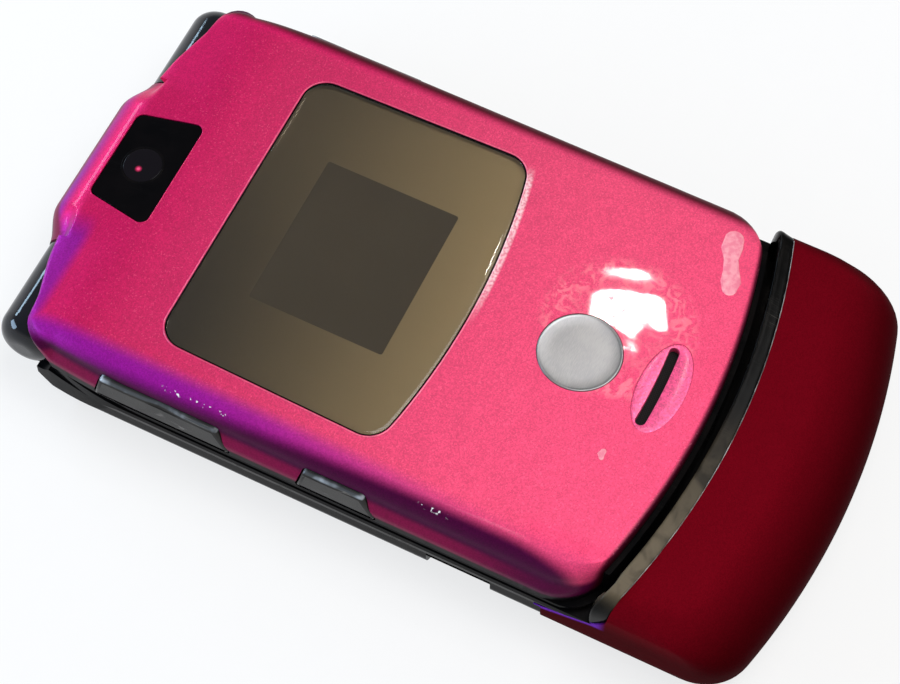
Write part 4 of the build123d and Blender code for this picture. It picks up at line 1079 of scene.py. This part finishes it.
# The bead round the window takes the lighter paint: a painted highlight
place(bead("windowPaintLip", windowPath(0.20), 13.80, 0.10), "lid", "lid_paint", "rimHighlightPaint")
print("window built")

# Camera window: black glass with a lens under its middle
cameraLayers = ((-0.05, -0.85), (0.0, -0.80), (0.0, -0.16), (-0.10, -0.07), (-0.3, -0.05))
lensRingLayers = ((2.60, -0.06), (2.56, -0.035), (2.48, -0.02), (2.38, -0.03), (2.30, -0.06))
domeAngles = [math.radians(a) for a in (5, 12, 20, 30, 42, 55, 68, 80, 87)]
domeLayers = [(2.30, -0.06)] + [(2.3 * math.cos(a), -0.055 + 0.05 * math.sin(a)) for a in domeAngles]
place(loft("cameraGlass", stack(cameraPath, cameraLayers, onCamera)),
      "lid", "smoked_window", "pianoBlack", "camera_window")
place(loft("lensRing", stack(lensPath, lensRingLayers, onCamera), caps=False),
      "lid", "black_gloss", "glossBlack")
place(loft("lensGlass", stack(lensPath, domeLayers, onCamera), sharp=80),
      "lid", "display_glass", "lensCoat")
place(bead("cameraPaintLip", cameraPath(0.13), -0.075, 0.09, onCamera), "lid", "lid_paint", "lidPaint")
print("camera window built")

# Badge: a bare polished disc with a raised rim
badgeLayers = ((4.88, 13.46), (4.88, 13.83), (4.85, 13.88), (4.78, 13.895), (4.66, 13.89), (4.58, 13.85),
               (4.52, 13.84), (3.2, 13.852), (1.6, 13.86), (0.2, 13.862))
place(loft("badgeDisc", stack(badgePath, badgeLayers), sharp=50),
      "lid", "badge_metal", "badgeMetal", "emblem")


# Sound port: an oval plate with its slot, and the screen behind it
def slotPath(shape, count=96):
    # The slot's outline, its ends bent a little toward the hinge, as many points as the oval round it
    half, width = shape["slotHalf"], shape["slotWidth"] / 2
    flat = half - width
    quarter = count // 4
    turns = [math.pi * k / quarter for k in range(quarter + 1)]
    path = [(flat + width * math.cos(a), width * math.sin(a)) for a in turns[:quarter // 2]]
    path += [(flat - 2 * flat * k / quarter, width) for k in range(quarter + 1)]
    path += [(-flat + width * math.cos(a), width * math.sin(a)) for a in turns[quarter // 2 + 1:]]
    path = path[:count // 2]
    path += [(-x, -v) for x, v in path]
    return [(x, shape["y"] + 0.4 + v + 0.2 * (x / half) ** 2) for x, v in path]


slot = slotPath(portShape)
port = stack(portPath, ((0, 12.9), (0, 13.79), (-0.04, 13.825), (-0.12, 13.835)))
port += [atHeight(grown(slot, 0.10), 13.835), atHeight(grown(slot, 0.02), 13.81)]
port += [atHeight(slot, 13.75), atHeight(slot, 12.9)]
place(loft("portPlate", port, caps=False, sharp=40), "lid", "port_paint", "portPaint", "speaker_grille")
place(loft("portScreen", stack(portPath, ((-0.1, 12.82), (-0.1, 12.92)))),
      "lid", "soft_black", "screenCloth")
print("badge and port built")

# The keys in the lid's sides

sideKeyLayers = ((22.9, 0.0), (26.10, 0.0), (26.30, -0.04), (26.42, -0.12), (26.47, -0.28), (26.48, -0.5))


def buildSideKey(name, side, y, length):
    # Cap standing a little proud of the skirt and leaning in at its top as the lid does
    loops = []
    for x, grow in sideKeyLayers:
        loop = []
        for a, b in sideKeyPath(y, length, grow):
            lean = 0.10 * smooth(9.6, 10.8, b) + 0.45 * smooth(10.7, 11.7, b)
            if name != "smart_key":
                lean += 0.30 * math.exp(-((a - y) / 1.6) ** 2)
            loop.append((side * (x - (lean if x > 25 else 0)), a, b))
        loops.append(loop)
    if side < 0:
        loops = [list(reversed(loop)) for loop in loops]
    return loft(name + "_cap", loops, sharp=50)


for name, (side, y, length) in sideKeys.items():
    place(buildSideKey(name, side, y, length), name, "side_key_black", "sideKeyBlack", name)
print("side keys built")

# The chin and the lip

chinShape = {
    "end": -48.97, "half": 26.48, "corner": 5.5, "growth": 0.45, "edge": 4.0, "top": 13.3, "seam": -27.0,
    "armTip": -22.0, "armSlope": 7.0, "lip": -34.6, "parting": 5.4, "ledge": 7.1, "wall": 1.2,
    "between": 24.4,   # half width of the part that the lip leaves open
    "roll": 2.5,   # radius of the edge beside the lip
    "core": 6.6,   # height that the inside shrinks toward
    "back": -18.0, "wide": 30.0,   # where the hood is cut off, and a half width past its sides
    "level": 0.9975,   # upward part of a face's normal above which it counts as level
}


def chinProfile():
    # Side view from the lip, over the end, to the underside: (distance from the end, height)
    corners = [(18.0, 13.19, 0), (6.5, 12.6, 12), (0, 8.4, 5), (0, 2.4, 4), (4.5, 0, 9), (12.0, 0, 0)]
    path = roundedPath(corners, 9)
    first, second = path[0], path[1]
    between = [(first[0] + (second[0] - first[0]) * k / 8, first[1] + (second[1] - first[1]) * k / 8)
               for k in range(1, 8)]
    return [first] + between + path[1:]


def chinLoop(fromEnd, z, back, shape):
    # Plan outline of the chin at one height; its corners widen as the outline shrinks
    half, edge = shape["half"], shape["edge"]
    if z > shape["top"] - edge:
        half -= sunk(edge, shape["top"] - z)
    elif z < edge - 0.1:
        half -= sunk(edge, z + 0.1)
    corner = shape["corner"] + shape["growth"] * fromEnd
    middle = shape["end"] + bow
    front = bow - fromEnd
    cx = half - corner
    cy = middle - math.sqrt((front - corner) ** 2 - cx ** 2)
    last = math.atan2(cy - middle, cx)
    path = [(half, back + (cy - back) * k / 6) for k in range(6)]
    turns = [last * k / 10 for k in range(10)]
    path += [(cx + corner * math.cos(a), cy + corner * math.sin(a)) for a in turns]
    turns = [last + (-math.pi - 2 * last) * k / 40 for k in range(20)]
    path += [(front * math.cos(a), middle + front * math.sin(a)) for a in turns]
    path.append((0.0, middle - front))
    return path + [(-x, y) for x, y in reversed(path[:-1])]


def bowedRegion(y, half):
    # Everything past a bowed line across the phone
    line = [(half * (k / 20 - 1), y + bowAt(half * (k / 20 - 1))) for k in range(41)]
    return line + [(half, 5.0), (-half, 5.0)]


def chinInside(shape):
    # The hollow inside the hood, drawn in from the outside by the wall
    wall, core = shape["wall"], shape["core"]
    inside = dict(shape, half=shape["half"] - wall, top=shape["top"] - wall, edge=shape["edge"] - wall)
    loops = []
    for fromEnd, z in chinProfile():
        z = core + (z - core) * (1 - wall / core)
        loops.append(atHeight(chinLoop(fromEnd + wall, z, shape["back"] + 1.0, inside), z))
    return loft("cut", loops)


def chinCutters(shape):
    lip, wide, roll = shape["lip"], shape["wide"], shape["roll"]
    # The upper edge runs round from the lip into the arms along the sides
    blend = []
    for k in range(7):
        angle = math.radians(15 * k)
        blend.append(atHeight(bowedRegion(lip + roll * (1 - math.sin(angle)), wide),
                              shape["ledge"] + roll * (1 - math.cos(angle))))
    blend.append(atHeight(bowedRegion(lip, wide), 20.0))
    tip, low, ledge = shape["armTip"], shape["parting"], shape["ledge"]
    slope = tip - shape["armSlope"]
    side = [(tip, low - 0.1), (5, low - 0.1), (5, ledge + 0.1), (slope, ledge + 0.1), (slope, ledge),
            (tip, low)]
    return [
        chinInside(shape), loft("cut", blend),
        prism(bowedRegion(lip, shape["between"]), low, 20.0),
        prism(bowedRegion(shape["seam"], wide), -1.0, low),
        loft("cut", [[(x, y, z) for y, z in side] for x in (-wide, wide)]),
    ]


def buildChin(shape):
    outer = loft("chinHood", [atHeight(chinLoop(e, z, shape["back"], shape), z) for e, z in chinProfile()])
    cutWith(outer, chinCutters(shape))
    smoothTo(outer.data, 26)
    for face in outer.data.polygons:
        # The level top keeps its own normals, so the cut edge along the lip can't darken it
        if face.normal.z > shape["level"]:
            face.use_smooth = False
    split = outer.modifiers.new("split", "TRIANGULATE")
    split.ngon_method = "BEAUTY"
    split.min_vertices = 5
    outer.modifiers.new("shading", "WEIGHTED_NORMAL").keep_sharp = True
    applyModifiers(outer)
    return outer


place(buildChin(chinShape), "base", "chin_paint", "chinPaint", "chin_cover")

lipShape = {
    "outer": -34.62, "inner": -32.78, "top": 12.97, "rollFrom": 24.25, "half": 26.14, "drop": 4.0,
    "low": 7.2, "cornerX": 22.0, "cornerRadius": 6.15,
    # across the lip: (share of its width, height over its line)
    "section": ((0.0, -1.2), (0.0, -0.12), (0.03, -0.03), (0.09, 0.01), (0.25, 0.06), (0.42, 0.12),
                (0.60, 0.19), (0.76, 0.26), (0.87, 0.28), (0.95, 0.21), (1.0, 0.05), (1.0, -1.2)),
}


def lipStations(shape):
    # Along the lip: (x, how far it has dropped, and which way it faces, across and up)
    start, drop = shape["rollFrom"], shape["drop"]
    width = shape["half"] - start
    stations = [(start * k / 24, 0.0, 0.0, 1.0) for k in range(25)]
    for k in range(1, 11):
        c, s = math.cos(math.radians(9 * k)), math.sin(math.radians(9 * k))
        size = math.hypot(s / width, c / drop)
        stations.append((start + width * s, drop * (1 - c), s / width / size, c / drop / size))
    left = shape["top"] - shape["low"] - drop
    stations += [(shape["half"], drop + left * k / 3, 1.0, 0.0) for k in range(1, 4)]
    return [(-x, fall, -nx, nz) for x, fall, nx, nz in reversed(stations[1:])] + stations


def buildLip(shape):
    # Glossy lip before the lid, following the lid's rounded corners and running down the sides
    loops = []
    for x, fall, nx, nz in lipStations(shape):
        outer = shape["outer"] + bowAt(x)
        inner = shape["inner"] + bowAt(x)
        past = abs(x) - shape["cornerX"]
        if past > 0:
            radius = shape["cornerRadius"]
            inner = shape["inner"] + bowAt(shape["cornerX"]) + sunk(radius, radius - past)
        z = shape["top"] - fall
        loops.append([(x + nx * h, outer + (inner - outer) * f, z + nz * h)
                      for f, h in reversed(shape["section"])])
    return loft("lipRim", loops, sharp=50)


place(buildLip(lipShape), "base", "black_gloss", "lipGloss")

edgeLine = {"y": -34.60, "half": 24.6, "top": 12.99, "radius": 0.05}


def buildLipEdge(look):
    # A thin line along the lip's outer edge: worn, and made pale as a painted highlight
    loops = []
    count = 80
    for k in range(count + 1):
        x = -look["half"] + 2 * look["half"] * k / count
        radius = look["radius"] * (1 + 0.35 * math.sin(2.3 * x) * math.sin(0.7 * x + 1))
        loops.append([(x, y, z) for y, z in ovalPath(radius, radius, 8, look["y"] + bowAt(x), look["top"])])
    return loft("lipEdge", loops, sharp=80)


place(buildLipEdge(edgeLine), "base", "black_gloss", "edgeWear")
print("chin and lip built")

# Marks left on the lid

glueMarks = {
    # a dried drop of glue by the far corner and a speck nearer the middle: (x, y, half width) along each
    "glueDrop": ((21.2, -24.9, 1.15), (20.0, -25.1, 1.25), (18.6, -25.6, 0.85), (17.2, -26.2, 0.95),
                 (15.9, -26.7, 1.2), (15.0, -26.9, 0.9)),
    "glueSpeck": ((-10.0, -22.4, 0.35), (-10.45, -22.3, 0.42), (-10.8, -22.5, 0.3)),
}
glueLayers = ((1.0, 13.80), (1.0, 13.855), (0.96, 13.875), (0.86, 13.89), (0.6, 13.893), (0.15, 13.887))


def buildGlue(name, spine):
    # A flat dome over a row of widths
    first, last = Vector(spine[0][:2]), Vector(spine[-1][:2])
    ahead = (last - first).normalized()
    across = Vector((-ahead.y, ahead.x))
    outline = roundEnd(first, ahead, spine[0][2], math.pi / 2)
    outline += [Vector((x, y)) - across * width for x, y, width in spine[1:-1]]
    outline += roundEnd(last, ahead, spine[-1][2], -math.pi / 2)
    outline += [Vector((x, y)) + across * width for x, y, width in reversed(spine[1:-1])]
    middle = sum(outline, Vector((0, 0))) / len(outline)
    loops = [[(*(middle + (v - middle) * share), height) for v in outline] for share, height in glueLayers]
    return loft(name, loops, sharp=80)


for name, spine in glueMarks.items():
    place(buildGlue(name, spine), "lid", "lid_paint", "driedGlue")
print("marks built")

# Figures on the keys

figureShapes = {
    # strokes on a grid 4 wide and 6 high
    "1": [[(1, 5), (2, 6), (2, 0)]],
    "2": [[(0, 5), (1, 6), (3, 6), (4, 5), (4, 4), (0, 0), (4, 0)]],
    "3": [[(0, 6), (4, 6), (2, 3.6), (3, 3.6), (4, 2.6), (4, 1), (3, 0), (1, 0), (0, 1)]],
    "4": [[(3, 0), (3, 6), (0, 2), (4, 2)]],
    "5": [[(4, 6), (0.4, 6), (0, 3.4), (3, 3.4), (4, 2.4), (4, 1), (3, 0), (0, 0)]],
    "6": [[(4, 6), (1.2, 4.6), (0, 2.4), (0, 1), (1, 0), (3, 0), (4, 1), (4, 2.4), (3, 3.4), (0.6, 3.2)]],
    "7": [[(0, 6), (4, 6), (1.4, 0)]],
    "8": [[(2, 3.3), (0.4, 4), (0.4, 5.3), (1.2, 6), (2.8, 6), (3.6, 5.3), (3.6, 4), (2, 3.3), (0, 2.2),
           (0, 0.9), (1, 0), (3, 0), (4, 0.9), (4, 2.2), (2, 3.3)]],
    "9": [[(0, 0), (2.8, 1.4), (4, 3.6), (4, 5), (3, 6), (1, 6), (0, 5), (0, 3.6), (1, 2.6), (3.4, 2.8)]],
    "0": [[(1.2, 0), (0, 1.4), (0, 4.6), (1.2, 6), (2.8, 6), (4, 4.6), (4, 1.4), (2.8, 0), (1.2, 0)]],
    "star": [[(2, 1), (2, 5)], [(0.3, 2), (3.7, 4)], [(0.3, 4), (3.7, 2)]],
    "hash": [[(1.2, 0.6), (1.6, 5.4)], [(2.6, 0.6), (3, 5.4)], [(0.2, 2.1), (3.9, 2.1)],
             [(0.3, 3.9), (4, 3.9)]],
    "dash": [[(0, 3), (4, 3)]],
    "menu": [[(0, 1.4), (4, 1.4)], [(0, 3), (4, 3)], [(0, 4.6), (4, 4.6)]],
    "envelope": [[(-1, 1), (5, 1), (5, 5), (-1, 5), (-1, 1)], [(-1, 5), (2, 2.6), (5, 5)]],
    "globe": [[(2, 0.4), (0.2, 1.2), (-0.6, 3), (0.2, 4.8), (2, 5.6), (3.8, 4.8), (4.6, 3), (3.8, 1.2),
               (2, 0.4)], [(-0.6, 3), (4.6, 3)], [(2, 0.4), (2, 5.6)]],
    "call": [[(-0.6, 2.2), (-0.2, 3.6), (2, 4.2), (4.2, 3.6), (4.6, 2.2)]],
    "arrow": [[(4, 3), (0, 3)], [(1.6, 4.6), (0, 3), (1.6, 1.4)]],
    "dot": [[(1.7, 3), (2.3, 3)]],
}
figureSize = {"pitch": 0.58, "stroke": 0.13, "proud": 0.03, "let": 0.05}   # mm
figureFinishes = {"send_key": "figureGreen", "end_key": "figureRed"}   # the others are figureBlue
figureMiddles = {"shortcut_key_left": -15.8, "shortcut_key_right": 15.8}   # x; the others sit mid key

keyFigures = {"key_" + label: label for label in "1 2 3 4 5 6 7 8 9 star 0 hash".split()}
keyFigures.update({
    "soft_key_left": "dash", "soft_key_right": "dash", "menu_key": "menu", "shortcut_key_left": "envelope",
    "shortcut_key_right": "globe", "send_key": "call", "end_key": "call", "clear_key": "arrow",
    "select_key": "dot",
})


def buildFigure(key, strokes, size):
    # Rounded strokes let into the key's top
    low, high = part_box(key)
    middle = Vector((figureMiddles.get(key, (low[0] + high[0]) / 2 / mm), (low[1] + high[1]) / 2 / mm))
    heights = high[2] / mm - size["let"], high[2] / mm + size["proud"]
    points, faces = [], []
    for stroke in strokes:
        line = [Vector((a - 2, b - 3)) * size["pitch"] + middle for a, b in stroke]
        for p, q in zip(line, line[1:]):
            along = (q - p).normalized()
            outline = roundEnd(p, along, size["stroke"], math.pi / 2)
            outline += roundEnd(q, along, size["stroke"], -math.pi / 2)
            faces += skinFaces(len(points), 2, len(outline))
            points += [(v.x, v.y, z) for z in heights for v in outline]
    return makeMesh(key + "_figure", points, faces)


for key, figure in keyFigures.items():
    place(buildFigure(key, figureShapes[figure], figureSize), key, "keypad_metal",
          figureFinishes.get(key, "figureBlue"))
print("figures built")

# Finishes on the CAD pieces

finish("doorPaint", "battery_door")
finish("glossBlack", "rear_housing", "front_housing", "lid_inner_housing")
finish("barrelBlack", "hinge_caps")
finish("innerBlack", "door_release")
finish("displayWindow", "display_window")
finish("mainDisplayFace", "main_display")
finish("outerDisplayFace", "outer_display")
finish("keypadMetal", "nav_ring", *keyFigures)
finish("webRubber", "keypad_web")
finish("domeSteel", "keypad_dome_sheet")
finish("boardResist", "main_board", "lid_board")
finish("shieldSteel", "board_components", "usb_socket", "sim_holder")
finish("batteryCase", "battery", "camera_module", "speaker")
finish("steel", "rear_screws", "lid_screws", "hinge_cartridge", "hinge_shaft", "hinge_sleeve",
       "vibration_motor", "motor_weight")
finish("softBlack", "lid_bumpers", "nav_carrier")
finish("antennaPlastic", "antenna")
print("CAD pieces finished")

# Floor, light and camera

stageLook = {
    "floor": (0.88, 0.88, 0.88),
    "floorSize": 3000.0, "floorLevel": -0.03,   # mm
    "glow": 0.74,   # how much of its own light the floor shows the camera
    "sky": (1.0, 0.99, 0.98),
    "zenith": 0.33, "horizon": 1.0,
    # each lamp's place, aim and size in mm, its power and its colour
    "lamps": {
        "overhead": ((120, -160, 620), (0, -10, 8), (420, 420), 2.5, (1, 1, 1)),
        "hingeSide": ((-170, 330, 105), (-10, 30, 8), (200, 100), 0.85, (0.50, 0.72, 1.0)),
        "hingeStreak": ((105, 345, 135), (-18, 44, 12), (160, 45), 0.36, (0.55, 0.78, 1.0)),
    },
    # the bulb is placed so that its reflection shows at this spot
    "glint": {"spot": (7.0, -17.4, 13.9), "away": 480.0, "radius": 9.5, "radiance": 75.0,
              "color": (1.0, 0.93, 0.84)},
}


def makeFloor(look):
    # A pale floor that the camera sees white and that keeps a soft shadow
    steps = 24
    places = [(k / steps - 0.5) * look["floorSize"] for k in range(steps + 1)]
    points = [(x, y, look["floorLevel"]) for y in places for x in places]
    floor = makeMesh("floor", points, gridFaces(steps + 1, steps + 1))
    shader = newMaterial("floorPaper", Roughness=0.9, Specular=0.1)[0]
    tree = shader.id_data
    grain = addNode("ShaderNodeTexNoise", {"Scale": 900.0, "Detail": 2.0}, tree=tree).outputs[0]
    feed(shader, "Base Color", mixColor(grain, look["floor"], tuple(c * 1.04 for c in look["floor"])))
    glow = addNode("ShaderNodeEmission", {"Color": (1, 1, 1), "Strength": 1.0}, tree=tree).outputs[0]
    ray = addNode("ShaderNodeLightPath", tree=tree).outputs
    seen = most(ray["Is Camera Ray"], ray["Is Glossy Ray"], ray["Is Transmission Ray"])
    blend = addNode("ShaderNodeMixShader", {0: times(seen, look["glow"]), 1: shader.outputs[0], 2: glow})
    output = next(n for n in tree.nodes if n.type == "OUTPUT_MATERIAL")
    link(blend.outputs[0], output.inputs[0])
    floor.data.materials.append(finishes["floorPaper"])


def areaLamp(name, spot, aim, size, power, color):
    # A rectangle with two sizes, or a disk with one
    data = bpy.data.lights.new(name, "AREA")
    data.energy = power
    data.color = color
    if isinstance(size, tuple):
        data.shape = "RECTANGLE"
        data.size, data.size_y = size[0] * mm, size[1] * mm
    else:
        data.shape = "DISK"
        data.size = size * mm
    lamp = addObject(name, data)
    lamp.location = Vector(spot) * mm
    lamp.rotation_euler = (Vector(aim) - Vector(spot)).to_track_quat("-Z", "Y").to_euler()


def makeLight(look):
    world = bpy.data.worlds.new("studio")
    bpy.context.scene.world = world
    world.use_nodes = True
    tree = world.node_tree
    back = tree.nodes["Background"]
    back.inputs[0].default_value = (*look["sky"], 1)
    # Bright at the horizon, dimmer overhead
    up = partsOf(addNode("ShaderNodeTexCoord", tree=tree).outputs["Generated"])[2]
    link(ramp(up, 0.04, 0.45, look["horizon"], look["zenith"]), back.inputs[1])
    # A broad soft lamp overhead, two cool ones low behind the hinge and a small bright bulb
    for name, lamp in look["lamps"].items():
        areaLamp(name, *lamp)
    glint = look["glint"]
    spot = Vector(glint["spot"])
    towardCamera = (Vector(cameraLook["place"]) - spot).normalized()
    away = Vector((-towardCamera.x, -towardCamera.y, towardCamera.z))
    area = math.pi * (glint["radius"] * mm) ** 2
    areaLamp("bulb", spot + away * glint["away"], spot, 2 * glint["radius"],
             glint["radiance"] * math.pi * area, glint["color"])


makeFloor(stageLook)
makeLight(stageLook)
makeCamera(cameraLook)
bpy.context.scene.view_settings.view_transform = "Standard"
print("stage ready")
